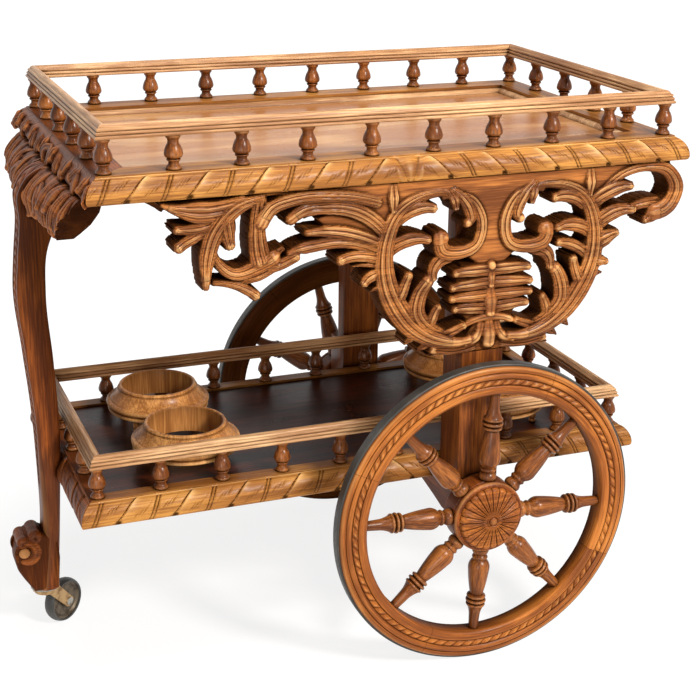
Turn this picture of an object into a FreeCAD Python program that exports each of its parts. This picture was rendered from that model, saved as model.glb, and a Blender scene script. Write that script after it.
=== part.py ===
import FreeCAD, Part
import os
from math import asin, cos, hypot, pi, radians, sin

V = FreeCAD.Vector
X_AXIS = V(1, 0, 0)
Y_AXIS = V(0, 1, 0)
Z_AXIS = V(0, 0, 1)

# Driving dimensions, in millimetres.
# X runs from the caster end to the wheel end, Y from the front to the back, Z up from the floor.

# Top tray
top_length = 880.0
top_width = 548.0
top_height = 774.0            # floor to the ledge that the balusters stand on
edge_height = 34.0            # height of the carved edge moulding
nose_inset = 17.0             # the moulding's outermost line back to its top arris
nose_drop = 28.0              # top arris down to that line
nose_bulge = 4.5              # how far the carved face between them swells
nose_under = 3.0              # how far the nosing is cut back along the underside
top_border_width = 62.0
top_recess = 14.0             # ledge down to the edge of the top's panel
field_rise = 2.0              # how far its veneered field stands above that edge
field_gap = 0.5               # between the field and the bead round it
panel_thickness = 14.0
panel_lap = 5.0               # how far a panel runs in under its border
bead_size = 9.0

# Lower shelf
shelf_length = 880.0
shelf_above_axle = 63.0       # axle to the ledge that the lower balusters stand on
shelf_border_width = 40.0
shelf_recess = 4.0
shelf_shift = 16.0            # the shelf lies this much nearer the leg than the top does

# Gallery rails and their balusters, the same on both levels
baluster_inset = 30.0         # outer edge of the moulding to the baluster line
baluster_height = 45.0
baluster_bulb_radius = 12.4
baluster_neck_radius = 7.2
baluster_foot_radius = 10.4
baluster_pin_radius = 4.0
baluster_pin_length = 8.0
long_side_count = 10          # balusters along a long side, both corners counted
top_short_count = 6
shelf_short_count = 5
rail_width = 23.0
rail_height = 19.0
reed_step = 1.6               # each reed of the rail stands in by this much
reed_bulge = 1.1
glue_gap = 0.15               # around a glued pin or tenon

# Bottle rings
ring_radius = 81.0
ring_rim_radius = 60.0
ring_bore_radius = 55.0
ring_height = 40.0
ring_base_height = 13.0
ring_foot_height = 22.0       # shelf to the ring's underside
ring_foot_radius = 6.0
ring_foot_count = 4
ring_gap = 6.0                # between the two rings of a pair
ring_clear = 4.0              # ring to the shelf's border
ring_offset = 256.0           # middle of the shelf to each pair

# Uprights, axle beam and wheels
axle_from_middle = 123.0      # middle of the top to the axle, towards the wheel end
upright_width = 66.0
upright_let_in = 6.0          # how deep the shelf edge is notched for an upright
upright_depth = 63.0
upright_cheek = 29.0          # depth of the upper part, behind the apron
back_post_rise = 40.0         # shelf to the shoulder of the back upright
beam_below_axle = 20.0
beam_arch = 28.0
beam_flat = 50.0              # flat stretch of the beam's underside at each end
axle_radius = 10.0
axle_thread_radius = 8.0
axle_sunk = 60.0              # length of each stub axle inside the beam
axle_running_fit = 0.05
wheel_radius = 236.0
tyre_thickness = 3.2
tyre_width = 17.0
rim_depth = 41.8              # radial depth of the wooden rim
rim_width = 30.0
rim_groove = 2.5              # depth of the face's sunk bands
wheel_gap = 13.0              # upright to the rim's inner face
hub_radius = 55.0
hub_face = 19.0               # middle plane of the wheel to the hub's outer face
bush_radius = 15.0
nut_pocket_radius = 24.0
nut_pocket_depth = 13.0
washer_radius = 20.0
washer_thickness = 2.0
nut_flats = 24.0
nut_height = 8.0
end_play = 0.3                # between faces that turn past each other
rosette_radius = 49.0
rosette_edge = 4.0
rosette_dome = 9.0
rosette_button_radius = 7.0
rosette_button_height = 3.0
rosette_hollow_radius = 26.0
rosette_hollow_depth = 5.0
petal_count = 24
spoke_count = 8
felloe_count = 4
wheel_turn = -3.0             # how far the wheels stand turned, in degrees
back_wheel_lead = -11.5       # and the back one past the front one
spoke_bulb_radius = 16.0
spoke_bead_radius = 15.5
spoke_waist_radius = 9.5
spoke_hub_radius = 8.0
spoke_rim_radius = 6.5
spoke_tenon = 9.0

# Carved aprons under the long sides
apron_drop = 258.0            # depth below the top, down to the front upright's shoulder
back_apron_drop = 150.0       # depth of the shallower one at the back
apron_shift = 7.0             # the carving's middle lies this much nearer the wheel end than the axle
apron_thickness = 34.0
apron_relief = 7.0

# Leg at the caster end, and the carved end apron
foot_reach = 86.0             # how far the foot's scroll stands out past the top's edge
toe_inset = 27.0              # the scroll's front back to the toe of the flat underside
foot_length = 37.0            # length of the foot's flat underside
foot_height = 94.0            # height of the scrolled foot
knee_depth = 31.0             # how far the knee and the end apron run in under the top
knee_reach = 45.0             # how far the knee swells out past the top's edge
calf_reach = 56.0             # the same for the calf below it
calf_thickness = 41.0
leg_width = 48.0
leg_thickness = 32.0          # at the shelf
leg_let_in = 7.0              # how deep the shelf's edge is notched for the leg
scroll_radius = 21.0
scroll_boss = 4.0             # how far the scroll's cheeks stand proud of the leg's sides
scroll_eye_radius = 8.0
scroll_eye_boss = 3.0
end_apron_length = 464.0
end_apron_foot_length = 350.0
end_apron_drop = 66.0
end_apron_swell = 40.0        # how far the end apron bows out beside the leg
end_apron_end_swell = 24.0    # and at its corners
end_apron_thickness = 32.0
scallop = 8.0                 # depth of the waves along its lower edge

# Caster
caster_radius = 35.0
caster_tyre = 5.0
caster_width = 18.0
caster_trail = 38.0
caster_turn = 38.0            # where the caster points at rest, in degrees from +X
caster_drop = 45.0            # foot to the caster wheel's pin
caster_plate_radius = 22.0
caster_plate_thickness = 3.0
kingpin_radius = 6.0
kingpin_head_radius = 10.0
kingpin_head = 3.0
crown_radius = 17.0
crown_height = 8.0
fork_sheet = 3.0
fork_side_gap = 1.0
fork_rim = 2.5                # sheet left round the pin's head
caster_pin_radius = 4.0
caster_pin_head_radius = 6.5
caster_pin_head = 2.0
caster_running_fit = 0.06
screw_count = 4
screw_circle = 16.0
screw_radius = 1.8
screw_head_radius = 3.2
screw_length = 14.0

# Places worked out from the sizes above
top_x = foot_reach / 2
top_under = top_height - edge_height
ring_spacing = 2 * ring_radius + ring_gap
shelf_width = ring_spacing + 2 * (ring_radius + ring_clear + shelf_border_width)
shelf_height = wheel_radius + shelf_above_axle
shelf_x = top_x - shelf_shift
shelf_under = shelf_height - edge_height
left_edge = top_x - top_length / 2
axle_x = top_x + axle_from_middle
axle_z = wheel_radius
upright_inner = shelf_width / 2 - upright_let_in
upright_outer = upright_inner + upright_depth
apron_back_face = upright_inner + upright_cheek
wheel_mid = upright_outer + wheel_gap + rim_width / 2
rim_outer = wheel_radius - tyre_thickness
rim_inner = rim_outer - rim_depth
leg_bottom = caster_radius + caster_drop
foot_toe = foot_reach - toe_inset
swivel_x = left_edge - foot_toe + foot_length / 2
leg_hold = shelf_shift + (shelf_length - top_length) / 2 - leg_let_in


# Outlines and solids of plain kinds

def on_xz(y=0.0):
    """Puts an outline's two numbers along X and Z."""
    return lambda a, b: V(a, y, b)


def on_yz(x=0.0):
    """Puts an outline's two numbers along Y and Z."""
    return lambda a, b: V(x, a, b)


def on_xy(z=0.0):
    """Puts an outline's two numbers along X and Y."""
    return lambda a, b: V(a, b, z)


def outline(place, start, *steps):
    """A closed face. A step is the next corner, (through, end) for an arc, or a list for a curve."""
    edges = []
    here = place(*start)
    for step in steps:
        if isinstance(step, list):
            points = [here] + [place(*p) for p in step]
            curve = Part.BSplineCurve()
            curve.interpolate(points)
            edges.append(curve.toShape())
            here = points[-1]
        elif isinstance(step[0], tuple):
            through = place(*step[0])
            end = place(*step[1])
            edges.append(Part.Arc(here, through, end).toShape())
            here = end
        else:
            end = place(*step)
            edges.append(Part.makeLine(here, end))
            here = end
    if here.distanceToPoint(place(*start)) > 1e-6:
        edges.append(Part.makeLine(here, place(*start)))
    return Part.Face(Part.Wire(edges))


def turned(start, *steps):
    """A solid of revolution about Z from an outline of (radius, height)."""
    return outline(on_xz(), start, *steps).revolve(V(0, 0, 0), Z_AXIS, 360)


def block(x0, x1, y0, y1, z0, z1):
    return Part.makeBox(x1 - x0, y1 - y0, z1 - z0, V(x0, y0, z0))


def rod(radius, base, axis, length):
    return Part.makeCylinder(radius, length, base, axis)


def moved(shape, x=0.0, y=0.0, z=0.0):
    copy = shape.copy()
    copy.translate(V(x, y, z))
    return copy


def rotated(shape, axis, degrees, centre=V(0, 0, 0)):
    copy = shape.copy()
    copy.rotate(centre, axis, degrees)
    return copy


def one_solid(shape):
    """The single solid of a cut or fused shape, with split faces joined."""
    solid = shape.removeSplitter()
    return solid.Solids[0]


def mitred_sides(half_x, half_y, centre_x, deep, section):
    """Four bars round a rectangle, mitred at the corners. section(y) is a bar's face at its outer edge."""
    sides = {}
    plan_low = -1.0
    plan_high = top_height + baluster_height + rail_height + 1.0
    for name, along, across, turn in (
        ("front", half_x, half_y, 0),
        ("left", half_y, half_x, -90),
        ("back", half_x, half_y, 180),
        ("right", half_y, half_x, 90),
    ):
        bar = moved(section(-across), x=-along).extrude(V(2 * along, 0, 0))
        plan = outline(
            on_xy(plan_low),
            (-along, -across),
            (along, -across),
            (along - deep, -across + deep),
            (-along + deep, -across + deep),
        ).extrude(V(0, 0, plan_high - plan_low))
        piece = rotated(bar.common(plan), Z_AXIS, turn)
        sides[name] = moved(one_solid(piece), x=centre_x)
    return sides


# Tray borders, panels, galleries

def edge_section(surface, border, recess):
    """Section of a tray's border: carved nosing outside, rebate for the panel inside."""
    bottom = surface - edge_height
    seat = surface - recess
    slope = hypot(nose_inset, nose_drop)
    swell_in = nose_inset / 2 - nose_bulge * nose_drop / slope
    swell_down = nose_drop / 2 - nose_bulge * nose_inset / slope

    def section(y):
        return outline(
            on_yz(),
            (y + nose_inset, surface),
            ((y + swell_in, surface - swell_down), (y, surface - nose_drop)),
            (y + nose_under, bottom),
            (y + border - panel_lap, bottom),
            (y + border - panel_lap, seat),
            (y + border, seat),
            (y + border, surface),
        )
    return section


def bead_section(border, seat):
    """Quarter-round bead in the corner between a border and its sunk panel."""
    def section(y):
        corner = y + border
        round_off = bead_size * cos(pi / 4)
        return outline(
            on_yz(),
            (corner, seat),
            (corner + bead_size, seat),
            ((corner + round_off, seat + round_off), (corner, seat + bead_size)),
        )
    return section


def rail_section(bottom):
    """Reeded gallery rail: three reeds a side, each stepping in, under a rounded top."""
    reed = rail_height / 4

    def section(y):
        middle = y + baluster_inset
        half = rail_width / 2 - reed_bulge
        steps = []
        for level in range(3):
            reach = half - level * reed_step
            low = bottom + level * reed
            steps.append((middle + reach, low))
            steps.append(((middle + reach + reed_bulge, low + reed / 2), (middle + reach, low + reed)))
        reach = half - 3 * reed_step
        crown = bottom + 3 * reed
        steps.append((middle + reach, crown))
        steps.append(((middle, bottom + rail_height), (middle - reach, crown)))
        for level in reversed(range(3)):
            reach = half - level * reed_step
            low = bottom + level * reed
            steps.append((middle - reach, low + reed))
            steps.append(((middle - reach - reed_bulge, low + reed / 2), (middle - reach, low)))
        return outline(on_yz(), (middle, bottom), *steps)
    return section


def baluster():
    """A vase turning that stands at the origin, with a pin at each end."""
    high = baluster_height
    foot = baluster_foot_radius
    neck = baluster_neck_radius
    collar = (foot + neck) / 2
    return turned(
        (0, -baluster_pin_length),
        (baluster_pin_radius, -baluster_pin_length),
        (baluster_pin_radius, 0),
        (foot - 1, 0),
        ((foot, 0.06 * high), (foot - 1, 0.12 * high)),
        (neck, 0.14 * high),
        ((neck - 0.5, 0.2 * high), (neck, 0.25 * high)),
        (collar, 0.26 * high),
        ((collar + 0.6, 0.29 * high), (collar, 0.32 * high)),
        (neck + 0.8, 0.33 * high),
        ((baluster_bulb_radius, 0.52 * high), (neck + 0.9, 0.75 * high)),
        ((neck, 0.82 * high), (neck + 1.2, 0.91 * high)),
        (foot - 1, 0.92 * high),
        ((foot - 0.4, 0.96 * high), (foot - 1, high)),
        (baluster_pin_radius, high),
        (baluster_pin_radius, high + baluster_pin_length),
        (0, high + baluster_pin_length),
    )


def baluster_places(half_x, half_y, short_count):
    """Where the balusters stand round a tray, by side. The corner ones belong to the long sides."""
    line_x = half_x - baluster_inset
    line_y = half_y - baluster_inset
    pitch_x = 2 * line_x / (long_side_count - 1)
    pitch_y = 2 * line_y / (short_count - 1)
    along = [-line_x + pitch_x * i for i in range(long_side_count)]
    across = [-line_y + pitch_y * i for i in range(1, short_count - 1)]
    return {
        "front": [(x, -line_y) for x in along],
        "back": [(x, line_y) for x in along],
        "left": [(-line_x, y) for y in across],
        "right": [(line_x, y) for y in across],
    }


def tray(name, length, width, surface, centre_x, border, recess, short_count, notches):
    """The nodes of one level: borders, panel, gallery rails and balusters."""
    nodes = {}
    half_x = length / 2
    half_y = width / 2
    seat = surface - recess
    rail_bottom = surface + baluster_height
    places = baluster_places(half_x, half_y, short_count)
    pins = []
    for spots in places.values():
        for x, y in spots:
            low = surface - baluster_pin_length - glue_gap
            tall = baluster_height + 2 * (baluster_pin_length + glue_gap)
            pins.append(rod(baluster_pin_radius + glue_gap, V(centre_x + x, y, low), Z_AXIS, tall))
    holes = Part.makeCompound(pins)

    borders = mitred_sides(half_x, half_y, centre_x, border, edge_section(surface, border, recess))
    for side, piece in borders.items():
        nodes[f"{name}_border_{side}"] = one_solid(piece.cut([holes] + notches))

    rail_deep = baluster_inset + rail_width
    rails = mitred_sides(half_x, half_y, centre_x, rail_deep, rail_section(rail_bottom))
    for side, piece in rails.items():
        nodes[f"{name}_rail_{side}"] = one_solid(piece.cut(holes))

    inset = border - panel_lap
    nodes[f"{name}_panel"] = block(
        centre_x - half_x + inset, centre_x + half_x - inset,
        -half_y + inset, half_y - inset,
        seat - panel_thickness, seat,
    )
    turning = baluster()
    for side, spots in places.items():
        group = [moved(turning, centre_x + x, y, surface) for x, y in spots]
        nodes[f"{name}_balusters_{side}"] = Part.makeCompound(group)
    return nodes


def top_panel(plain):
    """The top's panel with its veneered field, which stands a little higher than the edge under the bead."""
    inset = top_border_width + bead_size + field_gap
    edge = top_height - top_recess
    field = block(
        top_x - top_length / 2 + inset, top_x + top_length / 2 - inset,
        -top_width / 2 + inset, top_width / 2 - inset,
        edge - field_rise, edge + field_rise,
    )
    return one_solid(plain.fuse(field))


def top_bead():
    seat = top_height - top_recess
    deep = top_border_width + bead_size
    section = bead_section(top_border_width, seat)
    strips = mitred_sides(top_length / 2, top_width / 2, top_x, deep, section)
    return Part.makeCompound(list(strips.values()))


def bottle_ring(x, y):
    """A turned ring on small turned feet, which keeps one bottle in its place on the shelf."""
    seat = shelf_height - shelf_recess
    lip = (ring_rim_radius + ring_bore_radius) / 2
    under = ring_radius - 6
    base = ring_base_height
    high = ring_height
    ring = turned(
        (ring_bore_radius, 0),
        (under, 0),
        ((ring_radius - 2, 0.2 * base), (ring_radius - 3, 0.55 * base)),
        (ring_radius - 4, 0.65 * base),
        ((ring_radius, base), (ring_radius - 5, base + 5)),
        ((ring_radius - 13, 0.64 * high), (ring_rim_radius + 3, 0.85 * high)),
        (ring_rim_radius, 0.86 * high),
        ((lip + 1, high), (ring_bore_radius, 0.94 * high)),
    )
    circle = (ring_bore_radius + under) / 2
    waist = 0.6 * ring_foot_radius
    tall = ring_foot_height
    foot = turned(
        (0, -tall),
        (waist, -tall),
        ((ring_foot_radius, -0.85 * tall), (waist, -0.7 * tall)),
        ((ring_foot_radius, -0.4 * tall), (waist, -0.1 * tall)),
        (ring_foot_radius, 0),
        (0, 0),
    )
    for k in range(ring_foot_count):
        turn = radians(360 / ring_foot_count * (k + 0.5))
        ring = ring.fuse(moved(foot, circle * cos(turn), circle * sin(turn)))
    return moved(one_solid(ring), x, y, seat + tall)


# Uprights, axle beam and wheels

def upright(shoulder):
    """A front post: full depth up to its shoulder, thinned above so that an apron can lap over it."""
    x0 = axle_x - upright_width / 2
    x1 = axle_x + upright_width / 2
    post = block(x0, x1, -upright_outer, -upright_inner, shelf_under, shoulder)
    cheek = block(x0, x1, -apron_back_face, -upright_inner, shoulder, top_under)
    return one_solid(post.fuse(cheek))


def axle_beam():
    """Arched cross beam under the shelf, bored at each end for a stub axle."""
    low = axle_z - beam_below_axle
    flat = upright_outer - beam_flat
    face = outline(
        on_yz(axle_x - upright_width / 2),
        (-upright_outer, shelf_under),
        (-upright_outer, low),
        (-flat, low),
        ((0, low + beam_arch), (flat, low)),
        (upright_outer, low),
        (upright_outer, shelf_under),
    )
    beam = face.extrude(V(upright_width, 0, 0))
    bores = []
    for side in (-1, 1):
        start = V(axle_x, side * (upright_outer - axle_sunk), axle_z)
        bores.append(rod(axle_radius + glue_gap, start, V(0, side, 0), axle_sunk + 1))
    return one_solid(beam.cut(bores))


def at_front(shape):
    """Takes a piece drawn about Z, outward up, to the front end of the axle."""
    return moved(rotated(shape, X_AXIS, 90), axle_x, -wheel_mid, axle_z)


def at_back(shape):
    """The same piece at the back end of the axle."""
    return rotated(at_front(shape), Z_AXIS, 180, V(axle_x, 0, 0))


hub_back = -(wheel_mid - upright_outer - washer_thickness - end_play)
pocket_floor = hub_face - nut_pocket_depth
journal_end = pocket_floor + end_play


def stub_axle():
    inner = -(wheel_mid - upright_outer + axle_sunk)
    thread_end = journal_end + washer_thickness + nut_height + 2
    return turned(
        (0, inner),
        (axle_radius, inner),
        (axle_radius, journal_end),
        (axle_thread_radius, journal_end),
        (axle_thread_radius, thread_end),
        (0, thread_end),
    )


def washer(bore, low):
    disc = rod(washer_radius, V(0, 0, low), Z_AXIS, washer_thickness)
    return disc.cut(rod(bore + glue_gap, V(0, 0, low - 1), Z_AXIS, washer_thickness + 2))


def axle_nut():
    low = journal_end + washer_thickness
    corner = nut_flats / 2 / cos(pi / 6)
    corners = [(corner * cos(k * pi / 3), corner * sin(k * pi / 3)) for k in range(6)]
    nut = outline(on_xy(low), *corners).extrude(V(0, 0, nut_height))
    return nut.cut(rod(axle_thread_radius + glue_gap, V(0, 0, low - 1), Z_AXIS, nut_height + 2))


def spoke_angles():
    return [wheel_turn + 360 / spoke_count * k for k in range(spoke_count)]


def wheel_tyre():
    half = tyre_width / 2
    soft = 1.6
    return turned(
        (rim_outer, -half),
        (wheel_radius - soft, -half),
        ((wheel_radius - 0.3 * soft, 0.3 * soft - half), (wheel_radius, soft - half)),
        (wheel_radius, half - soft),
        ((wheel_radius - 0.3 * soft, half - 0.3 * soft), (wheel_radius - soft, half)),
        (rim_outer, half),
    )


def felloes():
    """The wooden rim, in segments that meet between the spokes, with a moulded outer face."""
    half = rim_width / 2
    sunk = half - rim_groove
    bevel = 2.0
    bead = rim_outer - 0.34 * rim_depth
    inner_bead = rim_inner + 0.24 * rim_depth
    section = outline(
        on_xz(),
        (rim_inner, bevel - half),
        (rim_inner + bevel, -half),
        (rim_outer - bevel, -half),
        (rim_outer, bevel - half),
        (rim_outer, sunk - bevel),
        (((rim_outer + bead) / 2, half), (bead, sunk)),
        (bead - 1, sunk),
        (bead - 1, half - 0.5),
        (bead - 6, half - 0.5),
        (bead - 6, sunk - 1),
        (inner_bead + 1, sunk - 1),
        (inner_bead + 1, sunk),
        (((rim_inner + inner_bead) / 2, half), (rim_inner, sunk - 1)),
    )
    span = 360 / felloe_count
    mortises = []
    for angle in spoke_angles():
        way = V(cos(radians(angle)), sin(radians(angle)), 0)
        mortise = rod(spoke_rim_radius + glue_gap, way * (rim_inner - 5), way, spoke_tenon + glue_gap + 5)
        mortises.append(mortise)
    segments = []
    for k in range(felloe_count):
        first = wheel_turn - 180 / spoke_count + span * k
        segment = rotated(section, Z_AXIS, first).revolve(V(0, 0, 0), Z_AXIS, span)
        segments.append(segment.cut(mortises))
    return Part.makeCompound(segments)


def spokes():
    """Turned spokes with a tenon at each end, drawn along Z and then laid out round the hub."""
    waist = spoke_waist_radius
    bead = spoke_bead_radius
    length = rim_inner - hub_radius

    def at(share):
        return hub_radius + share * length

    turning = turned(
        (0, hub_radius - spoke_tenon),
        (spoke_hub_radius, hub_radius - spoke_tenon),
        (spoke_hub_radius, hub_radius),
        (waist, hub_radius),
        (waist, at(0.045)),
        ((waist + 2, at(0.065)), (waist, at(0.085))),
        ((spoke_bulb_radius - 1, at(0.15)), (spoke_bulb_radius, at(0.22))),
        ((0.5 * (spoke_bulb_radius + waist) + 1, at(0.37)), (waist, at(0.52))),
        (waist, at(0.565)),
        (bead - 4, at(0.575)),
        ((bead - 2, at(0.595)), (bead - 4, at(0.615))),
        ((bead, at(0.665)), (bead - 4, at(0.715))),
        ((bead - 2.5, at(0.735)), (bead - 4, at(0.755))),
        (waist, at(0.765)),
        (spoke_rim_radius + 0.5, rim_inner),
        (spoke_rim_radius, rim_inner),
        (spoke_rim_radius, rim_inner + spoke_tenon),
        (0, rim_inner + spoke_tenon),
    )
    lying = rotated(turning, Y_AXIS, 90)
    return Part.makeCompound([rotated(lying, Z_AXIS, angle) for angle in spoke_angles()])


def wheel_hub():
    """Turned hub with mortises for the spokes and a pocket for the axle's nut."""
    soft = 5.0
    hub = turned(
        (bush_radius, hub_back),
        (hub_radius - soft, hub_back),
        ((hub_radius - 0.3 * soft, hub_back + 0.3 * soft), (hub_radius, hub_back + soft)),
        (hub_radius, hub_face - soft),
        ((hub_radius - 0.3 * soft, hub_face - 0.3 * soft), (hub_radius - soft, hub_face)),
        (nut_pocket_radius, hub_face),
        (nut_pocket_radius, pocket_floor),
        (bush_radius, pocket_floor),
    )
    mortises = []
    for angle in spoke_angles():
        way = V(cos(radians(angle)), sin(radians(angle)), 0)
        start = hub_radius - spoke_tenon - glue_gap
        mortises.append(rod(spoke_hub_radius + glue_gap, way * start, way, spoke_tenon + 5))
    return one_solid(hub.cut(mortises))


def hub_bush():
    bore = axle_radius + axle_running_fit
    return turned(
        (bore, hub_back),
        (bush_radius, hub_back),
        (bush_radius, pocket_floor),
        (bore, pocket_floor),
    )


def rosette():
    """Carved cap over the axle's nut: a domed daisy with a button in the middle."""
    base = hub_face
    shoulder = base + rosette_edge
    crown = shoulder + rosette_dome
    button = rosette_button_radius
    high = rosette_button_height
    ball = (button ** 2 + high ** 2) / (2 * high)
    half_turn = 0.5 * asin(button / ball)
    hollow_top = base + rosette_hollow_depth
    cap = turned(
        (0, hollow_top),
        (rosette_hollow_radius, hollow_top),
        (rosette_hollow_radius, base),
        (rosette_radius, base),
        (rosette_radius, shoulder),
        ((0.62 * rosette_radius, crown - 0.3 * rosette_dome), (button + 2, crown)),
        (button, crown),
        ((ball * sin(half_turn), crown + high - ball * (1 - cos(half_turn))), (0, crown + high)),
    )
    notch = 0.07 * rosette_radius
    notches = []
    for k in range(petal_count):
        angle = 2 * pi * (k + 0.5) / petal_count
        spot = V(rosette_radius * cos(angle), rosette_radius * sin(angle), base - 1)
        notches.append(rod(notch, spot, Z_AXIS, rosette_edge + rosette_dome + 2))
    return one_solid(cap.cut(notches))


def wheel_nodes():
    nodes = {}
    shapes = {
        "tyre": wheel_tyre(),
        "felloes": felloes(),
        "spokes": spokes(),
        "hub": wheel_hub(),
        "bush": hub_bush(),
        "rosette": rosette(),
    }
    for piece, shape in shapes.items():
        nodes[f"front_wheel_{piece}"] = at_front(shape)
        nodes[f"back_wheel_{piece}"] = at_back(rotated(shape, Z_AXIS, back_wheel_lead))
    washers = [washer(axle_radius, hub_back - end_play - washer_thickness)]
    washers.append(washer(axle_thread_radius, journal_end))
    for name, group in (
        ("stub_axles", [stub_axle()]),
        ("axle_washers", washers),
        ("axle_nuts", [axle_nut()]),
    ):
        ends = [at_front(shape) for shape in group] + [at_back(shape) for shape in group]
        nodes[name] = Part.makeCompound(ends)
    return nodes


# Carved aprons: pierced acanthus boards, drawn as leaves along arcs.
# Points are (along, up) from the middle of the carving's top edge, with the long arm to the left.
# A leaf is a list of points on its middle line, each arc taking three, and its widths at them.

# Scrolls and leaves that stand on both sides of the middle
PAIRED_LEAVES = [
    # inner C-scroll with its curled head
    ([(76, -27), (37, -33), (19, -68), (27, -98), (54, -107), (79, -100), (83, -83)],
     [8, 15, 18, 18, 22, 26, 24]),
    # leaves that hang inside the inner scroll
    ([(60, -20), (46, -34), (38, -48), (36, -60), (42, -67)], [12, 18, 20, 17, 12]),
    ([(66, -22), (61, -33), (59, -42)], [12, 15, 12]),
    # outer C-scroll, from the top rail round to the bottom
    ([(72, -22), (112, -25), (145, -45), (161, -80), (164, -120), (157, -152), (142, -182),
     (123, -207), (96, -227), (65, -237), (32, -238)], [9, 16, 22, 26, 30, 34, 36, 33, 26, 19, 15]),
    # leaves inside the outer scroll
    ([(143, -54), (117, -40), (94, -40)], [18, 20, 16]),
    ([(155, -94), (127, -82), (101, -84)], [22, 22, 15]),
    ([(150, -182), (138, -158), (129, -133)], [18, 20, 16]),
    ([(68, -226), (97, -212), (114, -190), (112, -166), (100, -144)], [14, 24, 28, 27, 22]),
    ([(92, -214), (90, -200), (83, -185)], [16, 18, 15]),
    ([(76, -228), (58, -223), (42, -216)], [14, 15, 13]),
    ([(68, -112), (88, -122), (92, -139)], [22, 22, 16]),
    # bud beside the arms
    ([(152, -8), (152, -22), (151, -40)], [12, 16, 10]),
    # bottom shell and fringe
    ([(13, -220), (21, -236), (37, -243)], [14, 16, 12]),
    ([(26, -250), (58, -252), (88, -246)], [14, 14, 14]),
    ([(116, -221), (124, -228), (131, -236)], [16, 12, 3]),
    ([(93, -236), (104, -241), (113, -248)], [16, 12, 3]),
    ([(68, -246), (84, -251), (98, -256)], [14, 11, 3]),
]
# Flutes of the ribbed middle, as (height at the stem, height at the tip, length)
RIBS = [(-138, -137, 57), (-156, -158, 61), (-175, -174, 61), (-194, -190, 56)]
RIB_WIDTHS = [18, 18, 14]
# Leaves and scroll of the short right arm
RIGHT_LEAVES = [
    ([(160, -52), (192, -35), (216, -32)], [22, 24, 15]),
    ([(160, -92), (192, -69), (223, -67)], [26, 26, 15]),
    ([(160, -117), (182, -106), (197, -100)], [30, 27, 15]),
    ([(160, -141), (175, -140), (184, -142)], [24, 19, 13]),
    ([(155, -156), (170, -158), (181, -159)], [16, 12, 4]),
    ([(152, -128), (128, -112), (104, -106)], [18, 18, 15]),
    ([(168, -48), (200, -17), (240, -7), (278, -14), (294, -40), (284, -64), (258, -74)],
     [14, 14, 14, 21, 28, 30, 28]),
    ([(268, -66), (254, -80), (246, -84)], [26, 24, 16]),
    ([(262, -60), (242, -60), (222, -64)], [18, 17, 15]),
]
# Leaves and scrolls of the long left arm
LEFT_LEAVES = [
    ([(-156, -80), (-203, -37), (-257, -27), (-284, -29), (-300, -38)], [20, 22, 19, 19, 19]),
    ([(-254, -32), (-270, -34), (-280, -39)], [10, 9, 4]),
    ([(-176, -26), (-238, -13), (-300, -14), (-326, -22), (-340, -40)], [16, 18, 19, 21, 22]),
    ([(-170, -86), (-223, -65), (-277, -59)], [18, 20, 12]),
    ([(-170, -96), (-223, -77), (-279, -79), (-290, -80), (-302, -85)], [16, 18, 20, 15, 12]),
    ([(-168, -108), (-203, -98), (-229, -101)], [16, 18, 17]),
    ([(-170, -118), (-192, -112), (-209, -112)], [9, 8, 5]),
    ([(-168, -128), (-184, -129), (-193, -136)], [16, 18, 16]),
    ([(-165, -146), (-176, -147), (-184, -151)], [12, 9, 4]),
    # trunk at the far end, with the scroll that springs from it
    ([(-340, -9), (-378, -21), (-404, -50), (-414, -80), (-417, -121)], [14, 24, 28, 25, 12]),
    ([(-406, -52), (-403, -84), (-379, -106), (-350, -101), (-324, -88)], [12, 13, 18, 22, 22]),
    ([(-352, -100), (-322, -101), (-294, -90)], [24, 18, 17]),
    ([(-330, -92), (-319, -83), (-311, -78)], [16, 13, 9]),
    ([(-341, -12), (-346, -50), (-342, -88)], [20, 25, 32]),
    ([(-405, -117), (-373, -124), (-350, -138)], [9, 13, 17]),
    ([(-375, -118), (-345, -113), (-318, -100)], [10, 15, 13]),
    # leaves at the tip
    ([(-390, -32), (-428, -41), (-454, -40)], [12, 16, 14]),
    ([(-400, -43), (-433, -53), (-452, -63)], [8, 17, 18]),
    ([(-391, -18), (-387, -48), (-384, -66)], [22, 24, 17]),
    ([(-380, -28), (-378, -46), (-380, -56)], [8, 9, 6]),
    ([(-366, -12), (-426, -19), (-472, -6)], [24, 32, 8]),
]
# Plain ground between the scrolls, as corners
GROUND = [
    [(-345, 0), (-345, -6), (284, -6), (284, 0)],
    [(-245, 0), (-188, -36), (-166, -84), (-148, -48), (-112, -22), (112, -22), (148, -48),
     (166, -84), (178, -46), (206, -18), (250, 0)],
    [(-62, -20), (-30, -40), (-14, -70), (-22, -102), (-40, -112), (-20, -128), (20, -128),
     (40, -112), (22, -102), (14, -70), (30, -40), (62, -20)],
    [(-165, -80), (-195, -50), (-240, -36), (-262, -42), (-250, -54), (-205, -64), (-172, -86)],
]
# The same at the front only: behind the ribs, and in the neck that stands on the upright
neck_left = -upright_width / 2 - apron_shift
neck_right = upright_width / 2 - apron_shift
FRONT_GROUND = [
    [(-46, -126), (-54, -150), (-52, -186), (-34, -210), (34, -210), (52, -186), (54, -150),
     (46, -126)],
    [(neck_left, -236), (neck_left, -apron_drop), (neck_right, -apron_drop), (neck_right, -236),
     (12, -206), (-12, -206)],
]
# The stem, collar and tongue on the middle line
MIDDLE_LEAVES = [
    ([(0, -136), (0.5, -148), (0, -158)], [12, 13, 12]),
    ([(0, -166), (0.5, -183), (0, -198)], [16, 24, 18]),
    ([(-34, -214), (0, -206), (34, -214)], [12, 14, 12]),
    ([(0, -218), (0.5, -231), (0, -242)], [18, 24, 22]),
]
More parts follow.
